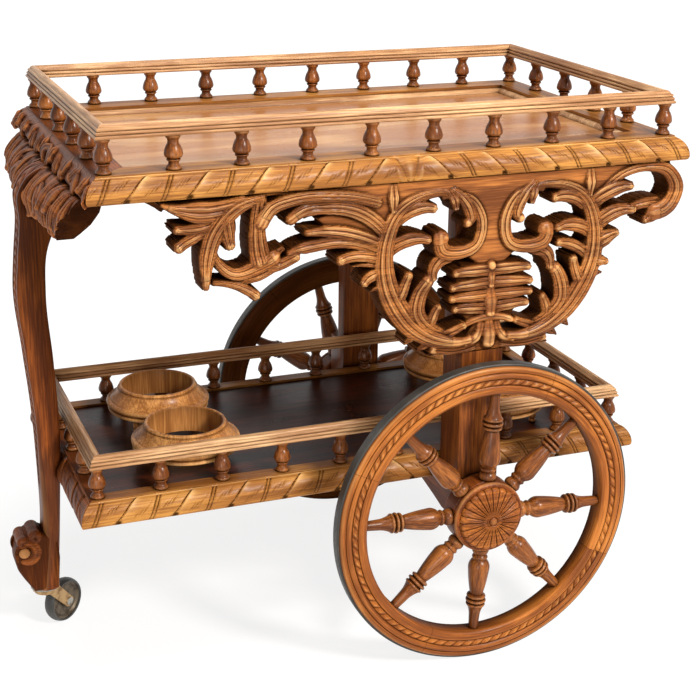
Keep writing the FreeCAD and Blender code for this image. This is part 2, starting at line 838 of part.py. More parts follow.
# What the shallower back apron has in their place
BACK_SCROLL = ([(72, -22), (112, -25), (145, -45), (161, -80), (164, -120)], [9, 16, 22, 26, 28])
BACK_PENDANT = ([(0, -116), (0.5, -128), (0, -138)], [26, 20, 12])


def unit(x, z):
    size = hypot(x, z)
    return x / size, z / size


def arc_tangents(a, b, c):
    """Directions at the start, middle and end of the arc through three points."""
    first = (b[0] - a[0], b[1] - a[1])
    second = (c[0] - b[0], c[1] - b[1])
    near = hypot(*first) ** 2
    far = hypot(*second) ** 2
    middle = unit(first[0] * far + second[0] * near, first[1] * far + second[1] * near)

    def reflect(chord):
        line = unit(*chord)
        along = middle[0] * line[0] + middle[1] * line[1]
        return 2 * along * line[0] - middle[0], 2 * along * line[1] - middle[1]

    return reflect(first), middle, reflect(second)


def leaf(points, widths):
    """A flat leaf: arcs beside its middle line, and a round tip."""
    tangents = [None] * len(points)
    for i in range(0, len(points) - 2, 2):
        start, middle, end = arc_tangents(*points[i:i + 3])
        if tangents[i] is not None:
            start = unit(start[0] + tangents[i][0], start[1] + tangents[i][1])
        tangents[i:i + 3] = [start, middle, end]
    left = []
    right = []
    for (x, z), (tx, tz), width in zip(points, tangents, widths):
        half = width / 2
        left.append((x - tz * half, z + tx * half))
        right.append((x + tz * half, z - tx * half))
    tip_half = widths[-1] / 2
    tip = (points[-1][0] + tangents[-1][0] * tip_half, points[-1][1] + tangents[-1][1] * tip_half)
    steps = []
    for i in range(0, len(points) - 2, 2):
        steps.append((left[i + 1], left[i + 2]))
    steps.append((tip, right[-1]))
    for i in range(len(points) - 3, -1, -2):
        steps.append((right[i + 1], right[i]))
    return outline(on_xz(), left[0], *steps)


def mirrored(points):
    return [(-x, z) for x, z in points]


def above(leaves, drop):
    """Those leaves that stay within some depth."""
    found = []
    for points, widths in leaves:
        if all(point[1] - width / 2 > -drop for point, width in zip(points, widths)):
            found.append((points, widths))
    return found


def apron(lone, paired, ground, drop):
    """A pierced board in the front apron's place, with its leaves standing proud of the ground."""
    level = V(0, -apron_thickness, 0)
    proud = V(0, -apron_thickness - apron_relief, 0)
    pieces = [leaf(*item).extrude(proud) for item in lone]
    for points, widths in paired:
        pieces.append(leaf(points, widths).extrude(proud))
        pieces.append(leaf(mirrored(points), widths).extrude(proud))
    pieces += [outline(on_xz(), *corners).extrude(level) for corners in ground]
    reach = top_length
    limits = outline(on_xz(), (-reach, 0), (-reach, -drop), (reach, -drop), (reach, 0)).extrude(proud)
    solid = pieces[0].multiFuse(pieces[1:]).common(limits).removeSplitter()
    return moved(solid, axle_x + apron_shift, -apron_back_face, top_under)


def front_apron():
    ribs = []
    for stem, tip, length in RIBS:
        rib = [(4, stem), (0.5 * length, (stem + tip) / 2 + 1), (length, tip)]
        ribs.append((rib, RIB_WIDTHS))
    lone = LEFT_LEAVES + RIGHT_LEAVES + MIDDLE_LEAVES
    return apron(lone, PAIRED_LEAVES + ribs, GROUND + FRONT_GROUND, apron_drop)


def back_apron():
    """The same arms and inner scrolls without the lower part of the middle."""
    lone = above(LEFT_LEAVES + RIGHT_LEAVES, back_apron_drop) + [BACK_PENDANT]
    paired = above(PAIRED_LEAVES, back_apron_drop) + [BACK_SCROLL]
    board = apron(lone, paired, GROUND, back_apron_drop)
    return board.mirror(V(0, 0, 0), Y_AXIS)


# Leg, end apron and caster

def out(distance):
    """X of a point that stands this far out past the top's edge at the caster end."""
    return left_edge - distance


def leg():
    """Cabriole leg with a scrolled foot: knee under the top, let into the shelf's edge below."""
    place = lambda distance, z: V(out(distance), -leg_width / 2, z)
    hold = leg_hold
    face_line = leg_hold + leg_thickness
    calf_back = calf_reach - calf_thickness
    heel = foot_toe - foot_length
    toe = foot_toe

    def at(share):
        return leg_bottom + share * (top_under - leg_bottom)

    def up(share):
        return leg_bottom + share * foot_height

    face = outline(
        place,
        (-knee_depth, top_under),
        (0, top_under),
        [(0.67 * knee_reach, at(0.98)), (knee_reach, at(0.945)), (knee_reach + 1, at(0.88)),
         (0.5 * (knee_reach + calf_reach) + 1.5, at(0.795)), (calf_reach, at(0.72)),
         (calf_reach - 7, at(0.576)), (face_line, at(0.41)), (face_line - 1, at(0.303)),
         (face_line, up(0.96))],
        [(toe - 2, up(1.0)), (foot_reach - 9, up(0.93)), (foot_reach, up(0.72)), (foot_reach - 3, up(0.46)),
         (toe + 8, up(0.14)), (toe, leg_bottom)],
        (heel, leg_bottom),
        [(heel - 4, up(0.54)), (hold + 5, up(1.16)), (hold - 2, at(0.35)), (hold + 1, at(0.56)),
         (calf_back, at(0.72)), (calf_back - 5, at(0.81)), (-knee_depth / 3, at(0.89)),
         (-knee_depth, top_under)],
    )
    shape = face.extrude(V(0, leg_width, 0))
    middle = V(out(foot_reach - scroll_radius), 0, up(0.72))
    cheeks = leg_width / 2 + scroll_boss
    eyes = cheeks + scroll_eye_boss
    shape = shape.fuse(rod(scroll_radius, middle - V(0, cheeks, 0), Y_AXIS, 2 * cheeks))
    shape = shape.fuse(rod(scroll_eye_radius, middle - V(0, eyes, 0), Y_AXIS, 2 * eyes))
    return one_solid(shape.cut([screw(x, y, glue_gap) for x, y in screw_places()]))


def end_apron_profile(y, swell):
    """Section of the end apron at one place along it: a bowed board under the top's edge."""
    place = lambda distance, z: V(out(distance), y, z)
    drop = end_apron_drop
    low = top_under - drop
    return outline(
        place,
        (-knee_depth, top_under),
        (0, top_under),
        [(0.55 * swell, top_under - 0.14 * drop), (swell, top_under - 0.5 * drop), (0.85 * swell, low)],
        (0.85 * swell, low - scallop),
        (swell - end_apron_thickness, low - scallop),
        [(-0.58 * knee_depth, top_under - 0.6 * drop), (-knee_depth, top_under)],
    )


def end_apron_half():
    """Half of the end apron, from the leg's side to the corner, drawn at the back."""
    inner = leg_width / 2
    outer = end_apron_length / 2
    foot = end_apron_foot_length / 2
    thick = end_apron_profile(inner, end_apron_swell).OuterWire
    thin = end_apron_profile(outer, end_apron_end_swell).OuterWire
    bowed = Part.makeLoft([thick, thin], True, True)
    low = top_under - end_apron_drop
    wave = (foot - inner) / 2
    view = outline(
        on_yz(out(2 * end_apron_swell)),
        (inner, top_under),
        (inner, low - scallop),
        ((inner + 0.6 * wave, low + scallop), (inner + wave, low + 0.25 * scallop)),
        ((inner + 1.5 * wave, low + scallop), (foot, low)),
        ((foot + 0.45 * (outer - foot), low + 1.5 * scallop), (outer, top_under - 1.5 * scallop)),
        (outer, top_under),
    ).extrude(V(2 * (end_apron_swell + knee_depth), 0, 0))
    return one_solid(bowed.common(view))


def at_caster(shape):
    """Turns a caster piece, drawn trailing along +X from the origin, to its place at rest."""
    return moved(rotated(shape, Z_AXIS, caster_turn), swivel_x)


plate_bottom = leg_bottom - caster_plate_thickness
crown_top = plate_bottom - end_play
crown_bottom = crown_top - crown_height


def screw_places():
    """Middles of the screws that hold the caster's plate."""
    angles = [2 * pi * (k + 0.5) / screw_count for k in range(screw_count)]
    return [(swivel_x + screw_circle * cos(a), screw_circle * sin(a)) for a in angles]


def screw(x, y, gap=0.0):
    """A countersunk screw up into the foot, or with a gap the hole for one."""
    sink = screw_head_radius - screw_radius
    shape = turned(
        (0, 0),
        (screw_head_radius + gap, 0),
        (screw_radius + gap, sink),
        (screw_radius + gap, screw_length + gap),
        (0, screw_length + gap),
    )
    return moved(shape, x, y, plate_bottom)


def caster_plate():
    """Round plate under the foot with the kingpin and its riveted head."""
    plate = rod(caster_plate_radius, V(0, 0, plate_bottom), Z_AXIS, caster_plate_thickness)
    head_top = crown_bottom - end_play
    pin = rod(kingpin_radius, V(0, 0, head_top), Z_AXIS, plate_bottom - head_top)
    head = rod(kingpin_head_radius, V(0, 0, head_top - kingpin_head), Z_AXIS, kingpin_head)
    whole = moved(plate.fuse([pin, head]), swivel_x)
    return one_solid(whole.cut([screw(x, y, glue_gap) for x, y in screw_places()]))


def caster_fork():
    """Pressed fork: a round crown on the kingpin and two cheeks that trail down to the wheel's pin."""
    crown = rod(crown_radius, V(0, 0, crown_bottom), Z_AXIS, crown_height)
    inner = caster_width / 2 + fork_side_gap
    boss = caster_pin_head_radius + fork_rim
    cheek = outline(
        on_xz(),
        (-0.8 * crown_radius, crown_top),
        (0.8 * crown_radius, crown_top),
        (caster_trail + boss, caster_radius + 0.3 * boss),
        ((caster_trail + 0.7 * boss, caster_radius - 0.7 * boss), (caster_trail, caster_radius - boss)),
        (caster_trail - 0.6 * boss, caster_radius - 0.8 * boss),
    )
    cheeks = []
    for start in (-inner - fork_sheet, inner):
        cheeks.append(moved(cheek.extrude(V(0, fork_sheet, 0)), y=start))
    bridge = block(-0.8 * crown_radius, 0.8 * crown_radius, -inner - fork_sheet, inner + fork_sheet,
                   crown_bottom, crown_top)
    fork = crown.fuse([bridge] + cheeks)
    kingpin_bore = kingpin_radius + caster_running_fit
    kingpin_hole = rod(kingpin_bore, V(0, 0, crown_bottom - 1), Z_AXIS, crown_height + 2)
    pin_start = V(caster_trail, -inner - 2 * fork_sheet, caster_radius)
    pin_hole = rod(caster_pin_radius + glue_gap, pin_start, Y_AXIS, 2 * inner + 4 * fork_sheet)
    return at_caster(one_solid(fork.cut([kingpin_hole, pin_hole])))


def caster_pin():
    """Pin through the fork's cheeks, headed outside each of them."""
    outside = caster_width / 2 + fork_side_gap + fork_sheet
    length = 2 * (outside + caster_pin_head)
    near = V(caster_trail, -length / 2, caster_radius)
    far = V(caster_trail, outside, caster_radius)
    pin = rod(caster_pin_radius, near, Y_AXIS, length)
    heads = [rod(caster_pin_head_radius, end, Y_AXIS, caster_pin_head) for end in (near, far)]
    return at_caster(one_solid(pin.fuse(heads)))


def at_caster_wheel(shape):
    return at_caster(moved(rotated(shape, X_AXIS, 90), caster_trail, 0, caster_radius))


def caster_wheel():
    """Pressed disc wheel with a thicker hub."""
    half = caster_width / 2
    bore = caster_pin_radius + caster_running_fit
    disc_radius = caster_radius - caster_tyre
    hub = caster_pin_head_radius + 2
    web = 0.55 * half
    return at_caster_wheel(turned(
        (bore, -half), (hub, -half), (hub + 2, -web), (disc_radius - 6, -web),
        (disc_radius - 3, -0.8 * half), (disc_radius, -0.8 * half),
        (disc_radius, 0.8 * half), (disc_radius - 3, 0.8 * half),
        (disc_radius - 6, web), (hub + 2, web), (hub, half), (bore, half),
    ))


def caster_tyre_ring():
    half = caster_width / 2
    inner = caster_radius - caster_tyre
    return at_caster_wheel(turned(
        (inner, -0.9 * half),
        (inner + 0.5 * caster_tyre, -half),
        ((caster_radius, 0), (inner + 0.5 * caster_tyre, half)),
        (inner, 0.9 * half),
    ))


# The whole cart

def build():
    nodes = {}
    upright_front = upright(top_under - apron_drop)
    upright_back = upright(shelf_height + back_post_rise).mirror(V(0, 0, 0), Y_AXIS)
    leg_solid = leg()
    notches = [upright_front, upright_back, leg_solid]
    nodes.update(tray("top", top_length, top_width, top_height, top_x, top_border_width, top_recess,
                      top_short_count, []))
    nodes["top_panel"] = top_panel(nodes["top_panel"])
    nodes["top_bead"] = top_bead()
    nodes.update(tray("shelf", shelf_length, shelf_width, shelf_height, shelf_x, shelf_border_width,
                      shelf_recess, shelf_short_count, notches))
    for end, x in (("left", shelf_x - ring_offset), ("right", shelf_x + ring_offset)):
        nodes[f"bottle_ring_front_{end}"] = bottle_ring(x, -ring_spacing / 2)
        nodes[f"bottle_ring_back_{end}"] = bottle_ring(x, ring_spacing / 2)
    nodes["upright_front"] = upright_front
    nodes["upright_back"] = upright_back
    nodes["axle_beam"] = axle_beam()
    nodes.update(wheel_nodes())
    nodes["apron_front"] = front_apron()
    nodes["apron_back"] = back_apron()
    nodes["leg"] = leg_solid
    back_half = end_apron_half()
    nodes["end_apron_back"] = back_half
    nodes["end_apron_front"] = back_half.mirror(V(0, 0, 0), Y_AXIS)
    nodes["caster_plate"] = caster_plate()
    nodes["caster_screws"] = Part.makeCompound([screw(x, y) for x, y in screw_places()])
    nodes["caster_fork"] = caster_fork()
    nodes["caster_pin"] = caster_pin()
    nodes["caster_wheel"] = caster_wheel()
    nodes["caster_tyre"] = caster_tyre_ring()
    return nodes


os.makedirs("parts", exist_ok=True)
for node, shape in build().items():
    shape.exportStep(f"parts/{node}.step")
    print(node, len(shape.Solids), shape.isValid(), round(shape.Volume))
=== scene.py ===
import cmath
from math import cos, pi, radians, sin

import bmesh
import bpy
import numpy as np
from mathutils import Matrix, Vector


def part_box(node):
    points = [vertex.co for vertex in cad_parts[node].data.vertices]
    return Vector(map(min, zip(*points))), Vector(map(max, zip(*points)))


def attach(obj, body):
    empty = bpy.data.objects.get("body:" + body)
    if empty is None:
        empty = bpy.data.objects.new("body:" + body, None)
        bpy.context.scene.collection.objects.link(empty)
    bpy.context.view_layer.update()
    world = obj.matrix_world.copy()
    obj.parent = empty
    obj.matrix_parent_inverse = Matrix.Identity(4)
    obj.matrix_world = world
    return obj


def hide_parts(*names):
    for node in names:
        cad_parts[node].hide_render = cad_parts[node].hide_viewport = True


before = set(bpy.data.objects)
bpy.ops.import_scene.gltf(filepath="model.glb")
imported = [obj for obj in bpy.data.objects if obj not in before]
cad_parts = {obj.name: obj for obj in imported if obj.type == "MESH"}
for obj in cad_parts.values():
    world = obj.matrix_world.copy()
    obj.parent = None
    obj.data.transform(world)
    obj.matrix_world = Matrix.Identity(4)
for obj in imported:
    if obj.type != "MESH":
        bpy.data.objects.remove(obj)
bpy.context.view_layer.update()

random = np.random.default_rng(7)

# Shapes are worked out in millimetres, in the part's own frame, and built in metres.
MM = 0.001
FIGURE = 900.0            # how far apart pieces may lie in the wood's figure
SHARP = 50.0              # edges bent by more than this many degrees stay sharp
ARC_STEPS = 8             # points of an arc in a profile
NO_FLUTE = 0.25           # flute value that shows no line
BOARD_CELL = 1.46         # size of the carved boards' grid
WAY = {"front": -1, "back": 1}


def box(node):
    """Lowest and highest corner of a node, in millimetres."""
    low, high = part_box(node)
    return np.array(low) / MM, np.array(high) / MM


def off_middle(node):
    """Least and greatest distance of a node from the cart's middle plane."""
    return np.sort(np.abs(box(node))[:, 1])


def wood_shift():
    """A piece's own place in the wood's figure."""
    return random.uniform(-FIGURE, FIGURE, 3)


def unit(value):
    """A value held between 0 and 1."""
    return np.clip(value, 0, 1)


def groove(distance, width):
    """One on a line, falling off to both sides of it."""
    return np.exp(-((distance / width) ** 2))


def xyz(*parts):
    """Points from their coordinates."""
    return np.stack(np.broadcast_arrays(*parts), axis=-1)


def moved(x, y, z):
    """Takes a turning's x, y, z to some place."""
    return lambda a, b, c: xyz(x + a, y + b, z + c)


def cell_corners(field):
    """The values at the four corners of each cell of a grid, in order round the cell."""
    return np.stack([field[:-1, :-1], field[1:, :-1], field[1:, 1:], field[:-1, 1:]], axis=-1)


def lengths(line):
    """How far along a line of points each one lies."""
    return np.concatenate([[0], np.cumsum(np.hypot(*np.diff(line, axis=0).T))])


def headings(line):
    """The direction in which a line of points runs at each one."""
    ahead = np.gradient(line, axis=0)
    return ahead / np.linalg.norm(ahead, axis=1)[:, None]


# Meshes

class Shape:
    """Gathers grids of points into one mesh, with a value of wear and painted light (highlights on crests,
    shade in hollows) and a grain place at each point.

    Carved leaves also have a flute value: how many flutes across its leaf a point lies."""

    def __init__(self):
        self.points, self.faces = [], []
        self.wear, self.grain, self.flute = [], [], []
        self.count = 0

    def grid(self, points, wear, grain=None, closed=False):
        """Adds rings of points joined by faces. The end rings are filled, or joined to each other if closed."""
        size = points.shape[:2]
        rings = self.count + np.arange(size[0] * size[1]).reshape(size)
        index = np.concatenate([rings, rings[:1]]) if closed else rings
        index = np.concatenate([index, index[:, :1]], axis=1)
        self.faces += cell_corners(index).reshape(-1, 4).tolist()
        if not closed:
            self.faces += [rings[0, ::-1].tolist(), rings[-1].tolist()]
        self.points.append(points.reshape(-1, 3))
        self.wear.append(np.broadcast_to(wear, size).reshape(-1))
        self.grain.append((points if grain is None else grain).reshape(-1, 3))
        self.count += rings.size

    def mesh(self, points, faces, wear, flute):
        """Adds points that are already joined by faces."""
        self.faces += (faces + self.count).tolist()
        self.points.append(points)
        self.wear.append(wear)
        self.grain.append(points)
        self.flute.append(flute)
        self.count += len(points)

    def build(self, node, material, slot, body="cart"):
        """Makes the piece that shows in place of a node."""
        mesh = bpy.data.meshes.new(node + "_look")
        mesh.from_pydata(np.concatenate(self.points) * MM, [], self.faces)
        for key, values in (("wear", self.wear), ("flute", self.flute)):
            if values:
                mesh.attributes.new(key, "FLOAT", "POINT").data.foreach_set("value", np.concatenate(values))
        grain = mesh.attributes.new("grain", "FLOAT_VECTOR", "POINT")
        grain.data.foreach_set("vector", np.concatenate(self.grain).ravel() * MM)
        work = bmesh.new()
        work.from_mesh(mesh)
        bmesh.ops.recalc_face_normals(work, faces=work.faces)
        work.to_mesh(mesh)
        work.free()
        mesh.polygons.foreach_set("use_smooth", np.ones(len(mesh.polygons), bool))
        mesh.set_sharp_from_angle(angle=radians(SHARP))
        mesh.materials.append(material)
        piece = bpy.data.objects.new(node + "_look", mesh)
        bpy.context.scene.collection.objects.link(piece)
        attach(piece, body)
        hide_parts(node)


def arc(start, through, end, count):
    """Points of the circular arc through three points, the first one left out."""
    a, b, c = (complex(*p) for p in (start, through, end))
    ratio = (c - a) / (b - a)
    centre = a + (b - a) * (ratio - abs(ratio) ** 2) / (2j * ratio.imag)
    middle = cmath.phase((b - centre) / (a - centre)) % (2 * pi)
    sweep = cmath.phase((c - centre) / (a - centre)) % (2 * pi)
    if middle > sweep:
        sweep -= 2 * pi
    turned = [centre + (a - centre) * cmath.exp(1j * sweep * k / count) for k in range(1, count + 1)]
    return [(p.real, p.imag) for p in turned]


def profile(start, *steps):
    """Points along an outline. A step is the next corner, or (through, end) for an arc."""
    points = [start]
    for step in steps:
        points += arc(points[-1], *step, ARC_STEPS) if isinstance(step[0], tuple) else [step]
    return np.array(points, float)


def spline(points, spacing):
    """Even points on a smooth curve through some points, and how many of those points each has passed."""
    points = np.array(points, float)
    knots = lengths(points)
    slopes = np.gradient(points, knots, axis=0, edge_order=2)
    along = np.linspace(0, knots[-1], max(6, int(knots[-1] / spacing)))
    k = np.clip(np.searchsorted(knots, along, side="right") - 1, 0, len(knots) - 2)
    step = (knots[k + 1] - knots[k])[:, None]
    t = (along - knots[k])[:, None] / step
    line = (
        (1 + 2 * t) * (1 - t) ** 2 * points[k]
        + t * (1 - t) ** 2 * step * slopes[k]
        + t * t * (3 - 2 * t) * points[k + 1]
        + t * t * (t - 1) * step * slopes[k + 1]
    )
    return line, k + t[:, 0]


def lathe_wear(outline, reach=6.0):
    """Lighter where a turning stands out from its surroundings, darker in its grooves: wear with painted
    highlight on the rounds and painted shade in the grooves.
    """
    length = lengths(outline)
    near = groove(length[:, None] - length[None, :], reach) * np.gradient(length)
    around = near @ outline[:, 0] / near.sum(axis=1)
    return unit(0.5 + 0.15 * (outline[:, 0] - around))


def lathe(shape, outline, place, count, closed=False):
    """Turns an outline of (radius, height). place takes x, y, z of the turning to the part's frame."""
    angle = np.linspace(0, 2 * pi, count, endpoint=False)
    radius, z = outline.T[..., None]
    x = radius * np.cos(angle)
    y = radius * np.sin(angle)
    shape.grid(place(x, y, z), lathe_wear(outline)[:, None], xyz(z, x, y) + wood_shift(), closed)


def inset(corners, distance):
    """A closed outline moved inwards, for corners in anticlockwise order."""
    before = corners - np.roll(corners, 1, axis=0)
    after = np.roll(corners, -1, axis=0) - corners
    before /= np.linalg.norm(before, axis=1)[:, None] + 1e-9
    after /= np.linalg.norm(after, axis=1)[:, None] + 1e-9
    normal = xyz(-(before + after)[:, 1], (before + after)[:, 0])
    normal /= np.maximum((normal ** 2).sum(axis=1), 0.4)[:, None] / 2
    return corners + normal * distance


def slab(shape, place, corners, low, high, soft=2.0, wear=0.5):
    """An upright board with softened edges.

    place takes (along, up, out) of its outline to the part's frame."""
    corners = np.array(corners, float)
    x, y = corners.T
    if (x * np.roll(y, -1) - np.roll(x, -1) * y).sum() < 0:
        corners = corners[::-1]
    softened = ((0, soft), (0.3 * soft, 0.3 * soft), (soft, 0))
    levels = [(low + out, inward) for out, inward in softened]
    levels += [(high - out, inward) for out, inward in reversed(softened)]
    rows = np.array([place(*inset(corners, inward).T, out) for out, inward in levels])
    shape.grid(rows, wear, rows[..., [2, 0, 1]])


def blurred(field, reach):
    """A field smoothed over some number of its cells."""
    rows = np.fft.fftfreq(field.shape[0])[:, None]
    columns = np.fft.rfftfreq(field.shape[1])[None, :]
    keep = np.exp(-2 * (pi * reach) ** 2 * (rows ** 2 + columns ** 2))
    return np.fft.irfft2(np.fft.rfft2(field) * keep, field.shape)


def relief_wear(height, covered, fine, broad):
    """Lighter on a relief's crests and darker in its hollows, both small and large: wear with painted highlight
    on the crests and painted shade in the hollows.
    """
    wear = 0.5
    for reach, share in ((fine, 0.26), (broad, 0.07)):
        around = blurred(height * covered, reach) / np.maximum(blurred(covered * 1.0, reach), 0.05)
        wear = wear + share * (height - around)
    return np.clip(wear, 0.03, 1.0)


def leaf_relief(along, up, leaves, rise, gouge):
    """Height of overlapping carved leaves at some places, how far inside a leaf each lies, its flute value.

    A leaf is the points along its middle, its widths there, and its number of flutes."""
    along, up = np.broadcast_arrays(along, up)
    height = np.zeros(along.shape)
    flute = np.full(along.shape, NO_FLUTE)
    inside = np.full(along.shape, -99.0)
    for points, widths, strands in leaves:
        line, passed = spline(points, 1.5)
        half = np.interp(passed, range(len(points)), widths) / 2
        ahead = headings(line)
        length = lengths(line)
        low = line.min(axis=0) - max(widths)
        high = line.max(axis=0) + max(widths)
        window = (along > low[0]) & (along < high[0]) & (up > low[1]) & (up < high[1])
        gap_x = along[window][:, None] - line[:, 0]
        gap_z = up[window][:, None] - line[:, 1]
        gap = np.hypot(gap_x, gap_z)
        near = gap.argmin(axis=1)
        pick = np.arange(len(near)), near
        gap, gap_x, gap_z = gap[pick], gap_x[pick], gap_z[pick]
        half, ahead_x, ahead_z = half[near], *ahead[near].T
        side = gap_z * ahead_x - gap_x * ahead_z
        past = gap_x * ahead_x + gap_z * ahead_z
        share = unit((length[near] + past) / (length[-1] + widths[-1] / 2))
        v = np.clip(side / half, -1, 1)
        place = strands * (v + 1) / 2
        r = place % 1.0
        strand = np.sin(pi * np.where(v < 0, 1 - r, r) ** 1.5) ** 0.6
        dome = np.sqrt(unit(1 - (gap / half) ** 2))
        grown = 0.55 + 0.45 * unit(share / 0.4)
        curl = groove(share - 0.9, 0.09)
        tall = np.minimum(rise, half)
        deep = np.minimum(gouge, 1.1 * half / strands) * (1 - 0.6 * curl)
        here = tall * (grown * (0.3 + 0.7 * dome) + 0.4 * curl * dome) - deep * (1 - strand)
        here = np.where(gap < half + 2.0, here, 0.0)
        line_value = np.where(share > 0.9, NO_FLUTE, place)
        flute[window] = np.where(here > height[window], line_value, flute[window])
        height[window] = np.maximum(height[window], here)
        notch = 2.6 * (1 - strand) * unit((share - 0.66) / 0.34)
        inside[window] = np.maximum(inside[window], half - gap - notch)
    return height, inside, flute


def outline_depth(along, up, corners):
    """How far inside a straight-sided outline each place lies."""
    gap = np.full(along.shape, 1e9)
    within = np.zeros(along.shape, bool)
    for (x0, z0), (x1, z1) in zip(corners, corners[1:] + corners[:1]):
        dx, dz = x1 - x0, z1 - z0
        t = unit(((along - x0) * dx + (up - z0) * dz) / (dx * dx + dz * dz))
        gap = np.minimum(gap, np.hypot(along - x0 - t * dx, up - z0 - t * dz))
        if dz:
            within ^= ((z0 > up) != (z1 > up)) & (along < x0 + (up - z0) * dx / dz)
    return np.where(within, gap, -gap)


def pierced_board(shape, place, leaves, ground, balls, drop, thick):
    """A pierced board with carved leaves on its front. place takes (along, up, out) to the part's frame."""
    reach = np.concatenate([np.array(points, float)[:, 0] for points, widths, strands in leaves])
    along, up = np.meshgrid(np.arange(reach.min() - 24, reach.max() + 24, BOARD_CELL),
                            np.arange(-drop - 8, 8, BOARD_CELL), indexing="ij")
    height, inside, flute = leaf_relief(along, up, leaves, rise=8.5, gouge=2.6)
    for corners in ground:
        inside = np.maximum(inside, outline_depth(along, up, corners))
    for (x, z), radius, tall in balls:
        gap = np.hypot(along - x, up - z)
        angle = np.arctan2(up - z, along - x)
        twist = np.abs(np.sin(1.5 * angle + 2.6 * gap / radius)) ** 0.5
        dome = tall * np.sqrt(unit(1 - (gap / radius) ** 2)) * (0.88 + 0.12 * twist)
        flute = np.where(dome > height, NO_FLUTE, flute)
        height = np.maximum(height, dome)
        inside = np.maximum(inside, radius - gap)
    inside = np.minimum(inside, np.minimum(-up, up + drop))
    height = blurred(height, 0.5)
    wear = relief_wear(height, inside > 0, fine=1.7, broad=5.5)
    height = height - 2.0 * (1 - unit(inside / 2.5)) ** 2

    # Cells of the grid that lie within, with the outermost points drawn to the outline
    cells = cell_corners(inside > -0.7 * BOARD_CELL).all(axis=-1)
    slope = np.stack(np.gradient(blurred(inside, 0.8), BOARD_CELL))
    slope /= np.maximum(np.linalg.norm(slope, axis=0), 0.3)
    push = np.where(inside < 0, -inside, 0.0)
    along = along + slope[0] * push
    up = np.minimum(up + slope[1] * push, 0.0)

    # Front, back, and walls along the edges that only one cell has
    quads = cell_corners(np.arange(along.size).reshape(along.shape))[cells]
    used, quads = np.unique(quads, return_inverse=True)
    quads = quads.reshape(-1, 4)
    count = len(used)
    fields = along, up, thick + height, wear, flute
    along, up, out, wear, flute = (field.ravel()[used] for field in fields)
    edges = np.stack([quads, np.roll(quads, -1, axis=1)], axis=-1).reshape(-1, 2)
    key = np.sort(edges, axis=1) @ (count, 1)
    first, times = np.unique(key, return_index=True, return_counts=True)[1:]
    start, end = edges[first[times == 1]].T
    walls = np.stack([end, start, start + count, end + count], axis=1)
    points = np.concatenate([place(along, up, out), place(along, up, 0.0)])
    faces = np.concatenate([quads, quads[:, ::-1] + count, walls])
    shape.mesh(points, faces, np.concatenate([wear, np.full(count, 0.12)]),
               np.concatenate([flute, np.full(count, NO_FLUTE)]))


# Materials

def linear(red, green, blue):
    """A colour given as it looks on screen, from 0 to 255, for a shader socket."""
    return tuple(((c / 255 + 0.055) / 1.055) ** 2.4 for c in (red, green, blue)) + (1.0,)


class Nodes:
    """A node tree with short calls for what the materials below use."""

    def __init__(self, owner, shader="Principled BSDF", result="Material Output"):
        owner.use_nodes = True
        self.owner = owner
        self.tree = owner.node_tree
        self.shader = self.tree.nodes[shader]
        self.result = self.tree.nodes[result]

    def add(self, kind, **inputs):
        node = self.tree.nodes.new(kind)
        for key, value in inputs.items():
            self.put(node.inputs[key.replace("_", " ")], value)
        return node

    def put(self, socket, value):
        if isinstance(value, bpy.types.NodeSocket):
            self.tree.links.new(value, socket)
        else:
            socket.default_value = value

    def math(self, operation, *values, clamp=False):
        node = self.tree.nodes.new("ShaderNodeMath")
        node.operation = operation
        node.use_clamp = clamp
        for socket, value in zip(node.inputs, values):
            self.put(socket, value)
        return node.outputs[0]

    def times(self, first, second):
        return self.math("MULTIPLY", first, second)

    def plus(self, first, second):
        return self.math("ADD", first, second)

    def attribute(self, name, output="Fac"):
        node = self.add("ShaderNodeAttribute")
        node.attribute_name = name
        return node.outputs[output]

    def noise(self, place, stretch, detail, rough=0.55, distortion=0.0):
        mapped = self.add("ShaderNodeMapping", Vector=place, Scale=stretch)
        node = self.add("ShaderNodeTexNoise", Vector=mapped.outputs[0], Scale=1.0, Detail=detail,
                        Roughness=rough, Distortion=distortion)
        return node.outputs["Fac"]

    def span(self, value, low, high, to_low=0.0, to_high=1.0):
        node = self.add("ShaderNodeMapRange", Value=value, From_Min=low, From_Max=high,
                        To_Min=to_low, To_Max=to_high)
        node.interpolation_type = "SMOOTHSTEP"
        return node.outputs[0]

    def mix(self, share, first, second):
        node = self.tree.nodes.new("ShaderNodeMix")
        node.data_type = "RGBA"
        for socket, value in ((0, share), (6, first), (7, second)):
            self.put(node.inputs[socket], value)
        return node.outputs[2]

    def bump(self, height, distance, strength, normal=None):
        node = self.add("ShaderNodeBump", Height=height, Distance=distance, Strength=strength)
        if normal is not None:
            self.put(node.inputs["Normal"], normal)
        return node.outputs[0]

    def finish(self, **sockets):
        for key, value in sockets.items():
            self.put(self.shader.inputs[key.replace("_", " ")], value)
        return self.owner


HOLLOW = 0.014            # reach of the dark wax and painted shade in hollows, in metres
PLAIN_WEAR_AND_PAINTED_LIGHT = 0.55         # wear and painted light of the CAD pieces, which have none of their own
GRAIN_TURN = {"x": (0, 0, 0), "y": (0, 0, pi / 2)}     # lays the grain along this axis


